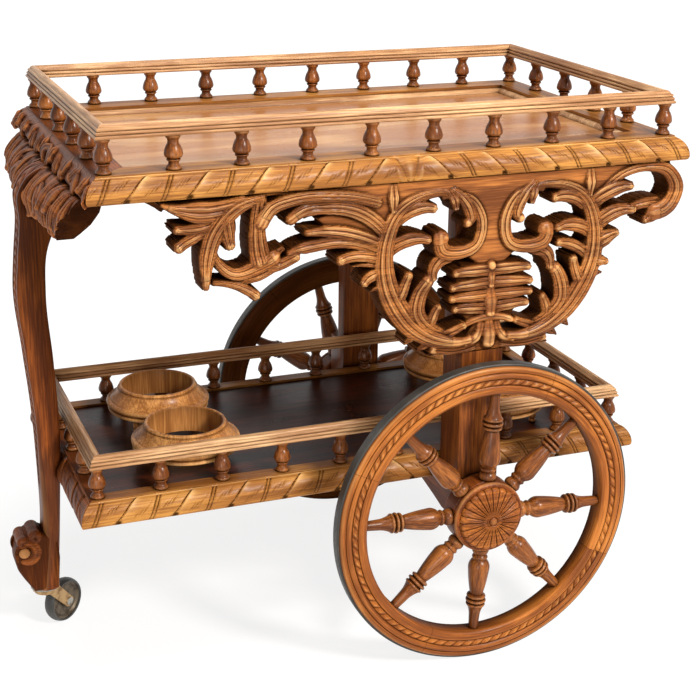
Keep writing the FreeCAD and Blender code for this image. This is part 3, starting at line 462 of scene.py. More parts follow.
def wood(name, pale, middle, dark, worn_and_highlight, gloss, coat, place="grain", ring_across=42.0, streaks=0.5,
         flutes=False):
    """Varnished wood: rings and fibres along the first axis, dark wax and painted shade in the hollows, worn
    crests with painted highlights.
    """
    n = Nodes(bpy.data.materials.new(name))
    pale, middle, dark, worn_and_highlight = (linear(*tint) for tint in (pale, middle, dark, worn_and_highlight))
    wax_and_painted_shade = tuple(0.2 * c for c in dark[:3]) + (1.0,)
    if place == "grain":
        where = n.attribute("grain", "Vector")
        wear = n.attribute("wear")
    else:
        where = n.add("ShaderNodeTexCoord").outputs["Object"]
        where = n.add("ShaderNodeMapping", Vector=where, Rotation=GRAIN_TURN[place]).outputs[0]
        wear = PLAIN_WEAR_AND_PAINTED_LIGHT
    rings = n.noise(where, (3.0, ring_across, ring_across), detail=3.0, rough=0.5, distortion=0.6)
    fibres = n.noise(where, (18.0, 420.0, 420.0), detail=5.0, rough=0.6)
    pores = n.noise(where, (55.0, 1500.0, 1500.0), detail=2.0, rough=0.5)
    cloud = n.noise(where, (9.0, 14.0, 14.0), detail=3.0)
    figure = n.plus(n.times(rings, 1.0 - streaks), n.times(fibres, streaks))
    tint = n.mix(n.span(figure, 0.34, 0.66), dark, middle)
    tint = n.mix(n.span(n.plus(figure, n.times(cloud, 0.5)), 0.72, 1.0), tint, pale)
    tint = n.mix(n.span(pores, 0.62, 0.74, 0.0, 0.35), tint, dark)

    # Ambient occlusion and the wear-and-light value darken the hollows towards the wax colour: dark wax and
    # painted shade. Coat and specular are lowered there too.
    shade = n.add("ShaderNodeAmbientOcclusion", Distance=HOLLOW)
    shade.samples = 6
    open_air = n.span(shade.outputs["AO"], 0.25, 0.95)
    depth = n.times(n.span(wear, 0.0, 0.45, 0.14, 1.0), open_air)
    tint = n.mix(depth, wax_and_painted_shade, tint)
    # Crests are lightened towards the worn colour: wear and painted highlight.
    worn_crest_highlight = n.span(n.plus(wear, n.times(cloud, 0.35)), 0.75, 1.15, 0.0, 0.7)
    tint = n.mix(n.times(worn_crest_highlight, open_air), tint, worn_and_highlight)

    rough = n.plus(n.times(cloud, 0.25), gloss - 0.12)
    rough = n.math("ADD", rough, n.times(n.math("SUBTRACT", 1.0, depth), 0.25), clamp=True)
    relief = None
    if flutes:
        # Dark lines along the flutes' cuts and veins are painted shade, with a bump to match.
        turn = n.times(n.attribute("flute"), pi)
        cut = n.span(n.math("ABSOLUTE", n.math("SINE", turn)), 0.0, 0.4, 1.0, 0.0)
        vein = n.span(n.math("ABSOLUTE", n.math("COSINE", turn)), 0.0, 0.4, 0.7, 0.0)
        lines = n.math("MAXIMUM", cut, vein)
        tint = n.mix(n.times(lines, 0.62), tint, wax_and_painted_shade)
        relief = n.bump(n.math("SUBTRACT", 1.0, lines), distance=0.0016, strength=0.9)
    relief = n.bump(fibres, distance=0.0004, strength=0.6, normal=relief)
    relief = n.bump(cloud, distance=0.003, strength=0.25, normal=relief)
    return n.finish(Base_Color=tint, Roughness=rough, Normal=relief, Coat_Weight=n.times(depth, coat),
                    Coat_Roughness=0.22, Specular_IOR_Level=n.times(depth, 0.14))


def rubber(name, tint):
    n = Nodes(bpy.data.materials.new(name))
    where = n.add("ShaderNodeTexCoord").outputs["Object"]
    grit = n.noise(where, (260.0,) * 3, detail=6.0)
    dust = n.noise(where, (24.0,) * 3, detail=4.0)
    dusty = tuple(2.6 * c for c in tint[:3]) + (1.0,)
    return n.finish(Base_Color=n.mix(n.span(dust, 0.45, 0.75), tint, dusty),
                    Roughness=n.span(grit, 0.2, 0.8, 0.35, 0.6),
                    Normal=n.bump(grit, distance=0.0005, strength=0.5))


def metal(name, tint, stain, rough):
    n = Nodes(bpy.data.materials.new(name))
    where = n.add("ShaderNodeTexCoord").outputs["Object"]
    patches = n.noise(where, (70.0,) * 3, detail=5.0, rough=0.6)
    scratches = n.noise(where, (900.0, 60.0, 900.0), detail=3.0)
    return n.finish(Base_Color=n.mix(n.span(patches, 0.42, 0.7), tint, stain), Metallic=0.85,
                    Roughness=n.span(n.plus(patches, scratches), 0.7, 1.3, rough - 0.12, rough + 0.2),
                    Normal=n.bump(scratches, distance=0.0002, strength=0.5))


# Screen colours of the woods: pale, middle, dark, and worn crests with painted highlight
GOLD = (190, 134, 64), (160, 103, 46), (112, 67, 29), (226, 182, 120)
BROWN = (156, 86, 38), (118, 61, 26), (72, 35, 14), (184, 114, 60)
RAIL = (222, 182, 136), (196, 150, 106), (132, 88, 54), (244, 214, 178)
APRON = (184, 116, 57), (150, 88, 41), (94, 50, 21), (222, 166, 106)
WHEEL = (184, 112, 46), (154, 86, 33), (104, 54, 19), (206, 144, 80)
TURNED = (160, 97, 44), (124, 69, 29), (76, 38, 15), (184, 128, 76)
# The bottle rings get a lighter copy of the turned wood: painted light.
LIT_RING = (232, 172, 102), (202, 136, 74), (142, 88, 44), (238, 194, 134)
LEG = (166, 90, 34), (128, 64, 23), (80, 37, 12), (204, 146, 90)
POST = (152, 86, 34), (120, 63, 23), (76, 36, 12), (176, 110, 56)
VENEER = (204, 158, 110), (186, 134, 84), (154, 98, 56), (204, 158, 110)
SHELF = (92, 42, 23), (62, 26, 13), (34, 14, 7), (98, 50, 28)
carved_wood = wood("carved_wood", *GOLD, gloss=0.42, coat=0.06)
apron_wood = wood("apron_wood", *APRON, gloss=0.42, coat=0.05, flutes=True)
wheel_wood = wood("wheel_wood", *WHEEL, gloss=0.4, coat=0.075)
rail_wood = wood("rail_wood", *RAIL, gloss=0.38, coat=0.075)
bead_wood = wood("bead_wood", *RAIL, gloss=0.38, coat=0.075, place="x")
turned_wood = wood("turned_wood", *TURNED, gloss=0.3, coat=0.175)
lit_ring_wood = wood("lit_ring_wood", *LIT_RING, gloss=0.34, coat=0.125)
dark_wood = wood("dark_wood", *BROWN, gloss=0.42, coat=0.05)
leg_wood = wood("leg_wood", *LEG, gloss=0.42, coat=0.05)
upright_wood = wood("upright_wood", *POST, gloss=0.46, coat=0.025)
beam_wood = wood("beam_wood", *BROWN, gloss=0.46, coat=0.025, place="y")
top_veneer = wood("top_veneer", *VENEER, gloss=0.26, coat=0.2, place="x", ring_across=14.0, streaks=0.3)
shelf_wood = wood("shelf_wood", *SHELF, gloss=0.3, coat=0.03, place="x", ring_across=30.0)
tyre_rubber = rubber("tyre_rubber", linear(40, 37, 33))
caster_rubber = rubber("caster_rubber", linear(44, 43, 41))
steel = metal("steel", linear(168, 164, 156), linear(110, 102, 92), rough=0.38)
brass = metal("brass", linear(196, 164, 104), linear(138, 104, 60), rough=0.36)
disc_metal = metal("disc_metal", linear(104, 92, 77), linear(60, 50, 40), rough=0.42)
horn_metal = metal("caster_metal", linear(184, 150, 106), linear(126, 94, 62), rough=0.42)

# Trays: carved edges, reeded rails, balusters

SIDES = {"front": 0, "left": -90, "back": 180, "right": 90}
BALUSTER_INSET = 30.0
BALUSTER_PIN = 8.0
LONG_COUNT = 10           # balusters of a long side, corners included
SHORT_COUNT = {"top": 6, "shelf": 5}
EDGE_STEP = 1.3           # spacing of the carved edge's points
RAIL_STEPS = 24
PITCH = 82.0              # length of one carved leaf of the edge
LEAN = 17.0               # how far its bands lean over the edge's height
FIRST_BAND = 85.0         # middle of the edge to its first pair of bands
CUT = 1.2                 # width of a chisel's cut


def mitred_bar(shape, section, half_long, half_across, centre_x, turn, steps, carve=None):
    """A bar along one side of a tray, mitred at both ends. The section is (inwards, height) points."""
    inward, z = section.T
    x = np.linspace(-1, 1, steps)[:, None] * (half_long - inward)
    y = inward - half_across
    wear = 0.5
    if carve is not None:
        stand, wear = carve(x)
        ahead = headings(section)
        y = y + stand * ahead[:, 1]
        z = z - stand * ahead[:, 0]
    c, s = cos(radians(turn)), sin(radians(turn))
    points = xyz(centre_x + c * x - s * y, s * x + c * y, z)
    shape.grid(points, wear, xyz(x, y, z) + wood_shift())


def face_places(x, first, last):
    """How far down an edge's face the points of its section lie, and which of them lie on it.

    first and last are the numbers of the section's points between which the face lies."""
    number = np.arange(x.shape[1])[None, :]
    return unit((number - first) / (last - first)), (number > first) & (number <= last)


def edge_carving(x, first, last, tall):
    """Carving of a tray's edge: leaning bands, a slanting cut and chisel marks in each leaf, a middle fan."""
    down, on_face = face_places(x, first, last)
    leaf_place = (np.abs(x) + LEAN * (0.5 - down) - FIRST_BAND) / PITCH
    u = leaf_place - np.floor(leaf_place)
    near = (u + 0.5) % 1.0 - 0.5
    bands = groove(near * PITCH, CUT) + groove((near - 0.06) * PITCH, CUT)
    bend = 0.55 + 0.27 * (down - 0.5) + 0.012 * np.sin(2 * pi * down)
    past = (u - bend) * PITCH
    cut = groove(past, CUT) * unit(1.2 - 0.5 * down)
    swell = np.where(past < 0, np.exp(past / 8.0), 0.0) * unit(1.15 - 1.1 * down)
    hollow = np.where(past > 0, np.exp(-past / 6.0), 0.0)
    ticks = np.zeros_like(u)
    for middle, level in ((0.24, 0.64), (0.82, 0.42)):
        slant = (u - middle) * PITCH - 20 * (down - 0.5)
        for shift in (-4.2, 0.0, 4.2):
            ticks += groove(slant - shift, 1.0) * groove(down - level - 0.02 * shift, 0.2)
    nick = unit(1 - np.abs(u - 0.6) * PITCH / 5.0) * unit((down - 0.8) / 0.2)
    ledge = groove((down - 0.08) * tall, 0.8)
    stand = 2.0 * swell - 0.7 * hollow - 1.6 * cut - 1.7 * bands - 1.4 * ticks - 4.5 * nick - 1.0 * ledge
    fan = np.abs(np.cos(4.0 * np.arctan2(x, tall * (1.25 - down)))) ** 0.6
    in_fan = unit((22.0 + 8 * (0.5 - down) - np.abs(x)) / 3.0)
    carved = unit((np.abs(x) - FIRST_BAND + PITCH) / 3.0)
    stand = stand * carved * (1 - in_fan) + in_fan * (2.0 * fan - 1.5)
    stand = np.where(on_face, stand * unit(down / 0.08), 0.0)
    # Swells lighter and cuts darker: wear with painted highlight and shade. The top arris gets a painted
    # highlight and the nicks painted shade.
    wear = np.clip(0.56 + np.where(stand < 0, 0.3, 0.22) * stand, 0.04, 1.0)
    wear = np.where(on_face, np.where(down < 0.05, 0.85, wear), 0.55) * (1 - unit(3 * nick))
    return stand, wear


def strewn_leaves(length, depth, count, widest, seed):
    """Leaves of uneven size and lean that hang over one another along a strip."""
    draw = np.random.default_rng(seed)
    leaves = []
    for k in range(count):
        x = length * (k + draw.uniform(0.0, 1.0)) / count
        top = -depth * draw.uniform(0.0, 0.15) if k % 2 else -depth * draw.uniform(0.3, 0.5)
        lean = draw.uniform(-20, 34)
        drop = depth * draw.uniform(0.4, 0.6)
        wide = widest * draw.uniform(0.55, 1.0)
        line = [(x, top), (x + 0.8 * lean, top - 0.55 * drop), (x + 0.55 * lean, top - drop)]
        leaves.append((line, [0.6 * wide, wide, 0.55 * wide], 2 + k % 3))
    return leaves


def foliage_carving(x, first, last, tall):
    """The caster end's edge is carved with leaves like the apron below it."""
    down, on_face = face_places(x, first, last)
    leaves = strewn_leaves(length=290.0, depth=1.4 * tall, count=10, widest=34.0, seed=3)
    height = leaf_relief(np.abs(x), -1.25 * tall * down, leaves, rise=6.0, gouge=1.8)[0]
    wear = relief_wear(height, np.ones(x.shape), fine=1.8, broad=6.0)
    stand = (height - 3.5) * unit((down - 0.15) / 0.15) + 3.0 * down ** 2
    return np.where(on_face, stand, 0.0), np.where(on_face, wear, 0.4)


def edge_section(surface, bottom, border, seat, lap):
    """Section of a tray's edge, and the numbers of the points at the top and bottom of its carved face."""
    head = [(border, seat), (border, surface), (22.0, surface), (17.0, surface), (17.0, surface - 1.5)]
    nose = arc((17.0, surface - 1.5), (4.7, surface - 12.0), (0.0, surface - 28.0), 26)
    under = arc((0.0, surface - 28.0), (0.8, surface - 31.6), (3.0, bottom), 6)
    tail = [(border - lap, bottom), (border - lap, seat)]
    section = np.array(head + nose + under + tail)
    return section, len(head) - 1, len(head) + len(nose) + len(under) - 2


def rail_section(bottom, top):
    """Reeded rail: three reeds a side that step in, under a rounded top."""
    half, reed, step, bulge = 10.4, (top - bottom) / 4, 1.6, 1.1
    right = []
    for level in range(3):
        reach = half - level * step
        low = bottom + level * reed
        right.append((reach, low + 0.5))
        right += arc((reach, low + 0.5), (reach + bulge, low + reed / 2), (reach, low + reed - 0.3), 6)
    crown = arc((half - 3 * step, bottom + 3 * reed), (0, top), (3 * step - half, bottom + 3 * reed), 10)
    left = [(-a, b) for a, b in reversed(right)]
    return np.array(right + crown + left)


def baluster_outline(high, pin):
    """Foot, thin waist, ring, vase and flared cap of a baluster, with its pins."""
    foot, neck, bulb = 10.4, 7.2, 12.4
    return profile(
        (0.5, -pin), (4.0, -pin), (4.0, 0.0), (foot - 0.8, 0.0),
        ((foot, 0.05 * high), (foot - 0.8, 0.1 * high)),
        (neck + 0.9, 0.13 * high),
        ((neck - 0.3, 0.19 * high), (neck + 0.2, 0.25 * high)),
        (neck + 1.2, 0.26 * high),
        ((neck + 2.2, 0.29 * high), (neck + 1.2, 0.32 * high)),
        (neck, 0.335 * high),
        ((bulb - 0.8, 0.39 * high), (bulb, 0.47 * high)),
        ((bulb - 1.0, 0.58 * high), (neck + 1.6, 0.72 * high)),
        ((neck, 0.82 * high), (neck + 0.9, 0.89 * high)),
        (foot - 1.0, 0.93 * high), (foot - 0.6, 0.94 * high), (foot - 0.6, high),
        (4.0, high), (4.0, high + pin), (0.5, high + pin),
    )


def tray(name):
    low, high = box(f"{name}_border_front")
    end_low, end_high = box(f"{name}_border_left")
    panel_high = box(f"{name}_panel")[1]
    half_x, half_y = (high[0] - low[0]) / 2, -low[1]
    centre_x = (high[0] + low[0]) / 2
    border = end_high[0] - end_low[0]
    surface, bottom = high[2], low[2]
    lap = panel_high[1] - (half_y - border)
    section, first, last = edge_section(surface, bottom, border, panel_high[2], lap)
    rail_low, rail_high = box(f"{name}_rail_front")
    rail = rail_section(rail_low[2], rail_high[2]) + (BALUSTER_INSET, 0.0)
    turning = baluster_outline(rail_low[2] - surface, BALUSTER_PIN)
    line_x = half_x - BALUSTER_INSET
    line_y = half_y - BALUSTER_INSET
    long_row = np.linspace(-line_x, line_x, LONG_COUNT)
    short_row = np.linspace(-line_y, line_y, SHORT_COUNT[name])[1:-1]
    places = {
        "front": [(x, -line_y) for x in long_row],
        "back": [(x, line_y) for x in long_row],
        "left": [(-line_x, y) for y in short_row],
        "right": [(line_x, y) for y in short_row],
    }
    for side, turn in SIDES.items():
        half_long, half_across = (half_x, half_y) if side in WAY else (half_y, half_x)
        carving = foliage_carving if (name, side) == ("top", "left") else edge_carving
        edge, bar, posts = Shape(), Shape(), Shape()
        mitred_bar(edge, section, half_long, half_across, centre_x, turn, int(2 * half_long / EDGE_STEP),
                   lambda x: carving(x, first, last, surface - bottom))
        mitred_bar(bar, rail, half_long, half_across, centre_x, turn, RAIL_STEPS)
        for x, y in places[side]:
            lathe(posts, turning, moved(centre_x + x, y, surface), count=28)
        # The caster end's edge takes the darker wood of the end aprons: painted shade on that end.
        edge.build(f"{name}_border_{side}", dark_wood if side == "left" else carved_wood, "carved_wood")
        bar.build(f"{name}_rail_{side}", rail_wood, "rail_wood")
        posts.build(f"{name}_balusters_{side}", turned_wood, "turned_wood")


# Bottle rings

RING_LIFT = 22.0          # height of a ring's feet
FOOT_CIRCLE = 65.0        # radius of the circle they stand on


def bottle_rings():
    outline = profile(
        (55.0, 0.0), (75.0, 0.0),
        ((79.0, 2.6), (78.0, 6.5)), (76.6, 7.2), (76.6, 8.6),
        ((81.0, 13.0), (76.0, 18.0)), (74.8, 18.2), (74.2, 19.4),
        ((67.4, 26.0), (63.0, 34.0)), (61.6, 33.8), (60.2, 35.0),
        ((58.5, 40.0), (55.0, 37.6)),
    )
    foot = profile(
        (0.5, -RING_LIFT), (3.6, -RING_LIFT), ((6.0, -0.85 * RING_LIFT), (3.6, -0.7 * RING_LIFT)),
        ((6.0, -0.4 * RING_LIFT), (3.6, -0.1 * RING_LIFT)), (6.0, 0.0), (6.0, 1.0), (0.5, 1.0),
    )
    for row in WAY:
        for end in ("left", "right"):
            node = f"bottle_ring_{row}_{end}"
            low, high = box(node)
            x, y = ((low + high) / 2)[:2]
            under = low[2] + RING_LIFT
            ring = Shape()
            lathe(ring, outline, moved(x, y, under), count=72, closed=True)
            for k in range(4):
                turn = radians(90 * k + 45)
                foot_x, foot_y = x + FOOT_CIRCLE * cos(turn), y + FOOT_CIRCLE * sin(turn)
                lathe(ring, foot, moved(foot_x, foot_y, under), count=20)
            ring.build(node, lit_ring_wood, "turned_wood")


# Wheels

WHEEL_TURN = {"front": -3.0, "back": -14.5}
SPOKES = 8
FELLOES = 4
CHAIN = 84                # leaves of the carved chain round the rim
CHAIN_MIDDLE = 210.0      # its radius
CHAIN_HALF = 4.6          # half of its width
CHAIN_BED = 13.2          # its height above the rim's middle plane
CHAIN_STEPS = 12          # points along each of its leaves
FELLOE_GAP = 0.001        # angle left at each end of a felloe
PETALS = 24
PETAL_STEPS = 14
HUB_RADIUS = 55.0
HUB_FACE = 19.0           # outer face of the hub, under the rosette
CROWN = 35.0              # top of the rosette
ROSETTE_RADIUS = 49.0
EYE_RADIUS = 11.0         # ringed middle of the rosette
RIM_RADIUS = 191.0        # inside of the rim
TYRE = (232.8, 236.0, 8.5)


def wheel_place(side):
    """Takes a wheel piece, drawn about its own axle with the outside up, to its place."""
    axle_x, axle_z = sum(box(f"{side}_wheel_rosette"))[[0, 2]] / 2
    middle = sum(box(f"{side}_wheel_felloes"))[1] / 2
    way = WAY[side]
    return lambda a, b, c: xyz(axle_x - way * a, middle + way * c, axle_z + b)


def felloe_outline():
    """Section of the rim as (radius, outwards), and where on it the carved chain lies."""
    outer = profile(
        (RIM_RADIUS, -13.0), (193.0, -15.0), (230.8, -15.0), (232.7, -13.0), (232.7, 8.0),
        ((231.4, 11.6), (228.0, 13.0)), (224.8, 13.4), (223.8, 12.2), (222.8, 13.8),
        ((219.4, 15.0), (216.2, 13.8)), (215.4, CHAIN_BED),
    )
    chain = xyz(np.linspace(CHAIN_MIDDLE + CHAIN_HALF, CHAIN_MIDDLE - CHAIN_HALF, 14), CHAIN_BED)
    inner = profile((204.6, CHAIN_BED), (203.8, 13.8), ((198.6, 14.8), (193.6, 13.6)), (191.2, 11.4))
    return np.concatenate([outer, chain, inner]), slice(len(outer), len(outer) + len(chain))


def felloes(place, turn):
    shape = Shape()
    outline, chain = felloe_outline()
    radius, out = outline.T
    across = (radius[chain] - CHAIN_MIDDLE) / CHAIN_HALF
    # The rim's inner face, towards the cart, is kept dark: painted shade.
    shade = lathe_wear(outline[:, ::-1], reach=5.0) * np.where(out < -12, 0.08, 1.0)
    span = 2 * pi / FELLOES
    # Every felloe has a draw, and the first one's is the whole rim's
    shift = [wood_shift() for k in range(FELLOES)][0]
    for k in range(FELLOES):
        first = radians(turn) - pi / SPOKES + span * k
        steps = CHAIN // FELLOES * CHAIN_STEPS + 1
        angle = np.linspace(first + FELLOE_GAP, first + span - FELLOE_GAP, steps)[:, None]
        u = (angle * CHAIN / (2 * pi) + 0.3 * across) % 1.0
        leaf = unit(u / 0.6) ** 0.6 * unit((1 - u) / 0.3) ** 0.6
        rise = 2.6 * leaf * np.sqrt(unit(1 - across ** 2)) - 1.3
        height = out + 0 * angle
        height[:, chain] += rise
        wear = shade + 0 * angle
        wear[:, chain] = np.clip(0.42 + 0.28 * rise, 0.04, 1)
        points = place(radius * np.cos(angle), radius * np.sin(angle), height)
        grain = xyz(CHAIN_MIDDLE * angle, radius, height) + shift
        shape.grid(points, wear, grain)
    return shape


def spoke_outline(hub, rim):
    """A spoke's turning: collar and ring at the hub, a long vase, three rings, a bell and a thin end."""
    length = rim - hub

    def at(share):
        return hub + share * length

    return profile(
        (0.5, hub - 9.0), (8.0, hub - 9.0), (8.0, hub), (11.4, hub),
        ((12.6, at(0.035)), (11.0, at(0.07))), (9.4, at(0.085)),
        (10.4, at(0.1)), ((11.8, at(0.118)), (10.4, at(0.136))), (10.8, at(0.15)),
        ((15.2, at(0.2)), (16.0, at(0.27))),
        ((13.6, at(0.42)), (10.2, at(0.555))), (9.6, at(0.57)),
        (12.6, at(0.58)), ((14.4, at(0.597)), (12.6, at(0.614))), (11.4, at(0.622)),
        (13.0, at(0.63)), ((15.4, at(0.647)), (13.0, at(0.664))), (11.6, at(0.672)),
        (12.4, at(0.68)), ((14.6, at(0.695)), (13.0, at(0.712))),
        ((10.0, at(0.765)), (8.2, at(0.84))), (7.0, rim), (6.5, rim), (6.5, rim + 9.0), (0.5, rim + 9.0),
    )


def spokes(place, turn):
    shape = Shape()
    outline = spoke_outline(HUB_RADIUS, RIM_RADIUS)
    for k in range(SPOKES):
        angle = radians(turn + 360.0 / SPOKES * k)
        c, s = cos(angle), sin(angle)
        lathe(shape, outline, lambda a, b, h: place(c * h - s * a, s * h + c * a, b), count=32)
    return shape


def hub(place, back, face):
    shape = Shape()
    outline = profile(
        (15.0, back), (50.0, back), ((53.5, back + 1.5), (HUB_RADIUS, back + 5)), (HUB_RADIUS, face - 12.0),
        (53.6, face - 11.0), (53.6, face - 9.6), (HUB_RADIUS, face - 8.6),
        (HUB_RADIUS, face - 5), ((53.5, face - 1.5), (50.0, face)),
        (24.0, face), (24.0, face - 13), (15.0, face - 13),
    )
    lathe(shape, outline, place, count=96, closed=True)
    return shape


def rosette(place, base, crown):
    """Domed daisy: petals with a groove down the middle, small lobes between their tips, a ringed button."""
    shape = Shape()
    share = np.linspace(0.0, 1.0, 46)[:, None]
    angle = np.linspace(0, 2 * pi, PETALS * PETAL_STEPS, endpoint=False)[None, :]
    u = (angle * PETALS / (2 * pi)) % 1.0
    between = np.abs(np.sin(pi * u))
    r = 0.4 + share * (ROSETTE_RADIUS * (0.965 + 0.035 * between ** 0.6) - 0.4)
    dome = crown - base - 3.5 - (crown - base - 8.0) * (r / ROSETTE_RADIUS) ** 2
    in_petal = unit((r - EYE_RADIUS) / 6.0)
    petal = 2.6 * (between ** 0.55 - 0.75) - 1.1 * groove(u - 0.5, 0.085) * (r < 0.9 * ROSETTE_RADIUS)
    small = 1.6 * groove((u + 0.5) % 1.0 - 0.5, 0.12) * groove(r - 0.93 * ROSETTE_RADIUS, 2.6)
    button = 3.4 * np.sqrt(unit(1 - (r / 6.4) ** 2)) + 2.0 * groove(r - 8.6, 1.1) - 0.6
    button = np.where(r < EYE_RADIUS, button, 0)
    roll = -4.0 * unit((share - 0.93) / 0.07) ** 2
    height = np.minimum(base + dome + in_petal * petal + small + button + roll, crown)
    wear = np.clip(0.45 + 0.2 * in_petal * petal + 0.1 * button, 0.04, 1)
    # Two more rows: the edge of the back, and a ring within it that the cap fills
    r = np.concatenate([r, r[-1:], 0.55 * r[-1:]])
    x, y = r * np.cos(angle), r * np.sin(angle)
    back = np.full_like(angle, base)
    height = np.concatenate([height, back, back])
    wear = np.concatenate([wear, 0 * angle, 0 * angle])
    shape.grid(place(x, y, height), wear, xyz(x, y, height) + 300.0)
    return shape


def tyre(place, inner, outer, half):
    shape = Shape()
    outline = profile(
        (inner, -half), (outer - 1.6, -half), ((outer - 0.5, 0.5 - half), (outer - 0.1, 1.6 - half)),
        (outer, 0.0), (outer - 0.1, half - 1.6), ((outer - 0.5, half - 0.5), (outer - 1.6, half)),
        (inner, half),
    )
    lathe(shape, outline, place, count=160, closed=True)
    return shape


def wheels():
    for side, turn in WHEEL_TURN.items():
        place = wheel_place(side)
        hub_back = off_middle(f"{side}_wheel_hub")[0] - off_middle(f"{side}_wheel_felloes").mean()
        pieces = {
            "tyre": (tyre(place, *TYRE), tyre_rubber, "tyre_rubber"),
            "felloes": (felloes(place, turn), wheel_wood, "carved_wood"),
            "spokes": (spokes(place, turn), turned_wood, "turned_wood"),
            "hub": (hub(place, hub_back, HUB_FACE), leg_wood, "turned_wood"),
            "rosette": (rosette(place, HUB_FACE, CROWN), wheel_wood, "carved_wood"),
        }
        for kind, (shape, material, slot) in pieces.items():
            shape.build(f"{side}_wheel_{kind}", material, slot, f"{side}_wheel")


# Carved aprons. Points are (along, up) from the middle of the apron's top edge, then widths and flutes.

PAIRED_LEAVES = [
    ([(76, -27), (37, -33), (19, -68), (27, -98), (54, -107), (79, -100), (83, -83)],
     [8, 15, 18, 18, 22, 26, 24], 3),
    ([(60, -20), (46, -34), (38, -48), (36, -60), (42, -67)], [12, 18, 20, 17, 12], 3),
    ([(66, -22), (61, -33), (59, -42)], [12, 15, 12], 2),
    ([(72, -22), (112, -25), (145, -45), (161, -80), (164, -120), (157, -152), (142, -182), (123, -207),
     (96, -227), (65, -237), (32, -238)], [9, 16, 22, 26, 30, 34, 36, 33, 26, 19, 15], 4),
    ([(143, -54), (117, -40), (94, -40)], [18, 20, 16], 3),
    ([(155, -94), (127, -82), (101, -84)], [22, 22, 15], 3),
    ([(150, -182), (138, -158), (129, -133)], [18, 20, 16], 3),
    ([(68, -226), (97, -212), (114, -190), (112, -166), (100, -144)], [14, 24, 28, 27, 22], 4),
    ([(92, -214), (90, -200), (83, -185)], [16, 18, 15], 3),
    ([(76, -228), (58, -223), (42, -216)], [14, 15, 13], 2),
    ([(68, -112), (88, -122), (92, -139)], [22, 22, 16], 3),
    ([(152, -8), (152, -22), (151, -40)], [12, 16, 10], 2),
    ([(13, -220), (21, -236), (37, -243)], [14, 16, 12], 1),
    ([(26, -250), (58, -252), (88, -246)], [14, 14, 14], 2),
    ([(116, -221), (124, -228), (131, -236)], [16, 12, 3], 2),
    ([(93, -236), (104, -241), (113, -248)], [16, 12, 3], 2),
    ([(68, -246), (84, -251), (98, -256)], [14, 11, 3], 2),
]
RIBS = [(-138, -137, 57), (-156, -158, 61), (-175, -174, 61), (-194, -190, 56)]
RIGHT_LEAVES = [
    ([(160, -52), (192, -35), (216, -32)], [22, 24, 15], 3),
    ([(160, -92), (192, -69), (223, -67)], [26, 26, 15], 4),
    ([(160, -117), (182, -106), (197, -100)], [30, 27, 15], 4),
    ([(160, -141), (175, -140), (184, -142)], [24, 19, 13], 3),
    ([(155, -156), (170, -158), (181, -159)], [16, 12, 4], 2),
    ([(152, -128), (128, -112), (104, -106)], [18, 18, 15], 3),
    ([(168, -48), (200, -17), (240, -7), (278, -14), (294, -40), (284, -64), (258, -74)],
     [14, 14, 14, 21, 28, 30, 28], 3),
    ([(268, -66), (254, -80), (246, -84)], [26, 24, 16], 3),
    ([(262, -60), (242, -60), (222, -64)], [18, 17, 15], 3),
]
LEFT_LEAVES = [
    ([(-156, -80), (-203, -37), (-257, -27), (-284, -29), (-300, -38)], [20, 22, 19, 19, 19], 4),
    ([(-254, -32), (-270, -34), (-280, -39)], [10, 9, 4], 1),
    ([(-176, -26), (-238, -13), (-300, -14), (-326, -22), (-340, -40)], [16, 18, 19, 21, 22], 4),
    ([(-170, -86), (-223, -65), (-277, -59)], [18, 20, 12], 3),
    ([(-170, -96), (-223, -77), (-279, -79), (-290, -80), (-302, -85)], [16, 18, 20, 15, 12], 3),
    ([(-168, -108), (-203, -98), (-229, -101)], [16, 18, 17], 3),
    ([(-170, -118), (-192, -112), (-209, -112)], [9, 8, 5], 1),
    ([(-168, -128), (-184, -129), (-193, -136)], [16, 18, 16], 3),
    ([(-165, -146), (-176, -147), (-184, -151)], [12, 9, 4], 1),
    ([(-340, -9), (-378, -21), (-404, -50), (-414, -80), (-417, -121)], [14, 24, 28, 25, 12], 4),
    ([(-406, -52), (-403, -84), (-379, -106), (-350, -101), (-324, -88)], [12, 13, 18, 22, 22], 3),
    ([(-352, -100), (-322, -101), (-294, -90)], [24, 18, 17], 3),
    ([(-330, -92), (-319, -83), (-311, -78)], [16, 13, 9], 2),
    ([(-341, -12), (-346, -50), (-342, -88)], [20, 25, 32], 4),
    ([(-405, -117), (-373, -124), (-350, -138)], [9, 13, 17], 3),
    ([(-375, -118), (-345, -113), (-318, -100)], [10, 15, 13], 3),
    ([(-390, -32), (-428, -41), (-454, -40)], [12, 16, 14], 3),
    ([(-400, -43), (-433, -53), (-452, -63)], [8, 17, 18], 3),
    ([(-391, -18), (-387, -48), (-384, -66)], [22, 24, 17], 4),
    ([(-380, -28), (-378, -46), (-380, -56)], [8, 9, 6], 1),
    ([(-366, -12), (-426, -19), (-472, -6)], [24, 32, 8], 4),
]
GROUND = [
    [(-345, 0), (-345, -6), (284, -6), (284, 0)],
    [(-245, 0), (-188, -36), (-166, -84), (-148, -48), (-112, -22), (112, -22), (148, -48), (166, -84),
     (178, -46), (206, -18), (250, 0)],
    [(-62, -20), (-30, -40), (-14, -70), (-22, -102), (-40, -112), (-20, -128), (20, -128), (40, -112),
     (22, -102), (14, -70), (30, -40), (62, -20)],
    [(-165, -80), (-195, -50), (-240, -36), (-262, -42), (-250, -54), (-205, -64), (-172, -86)],
]
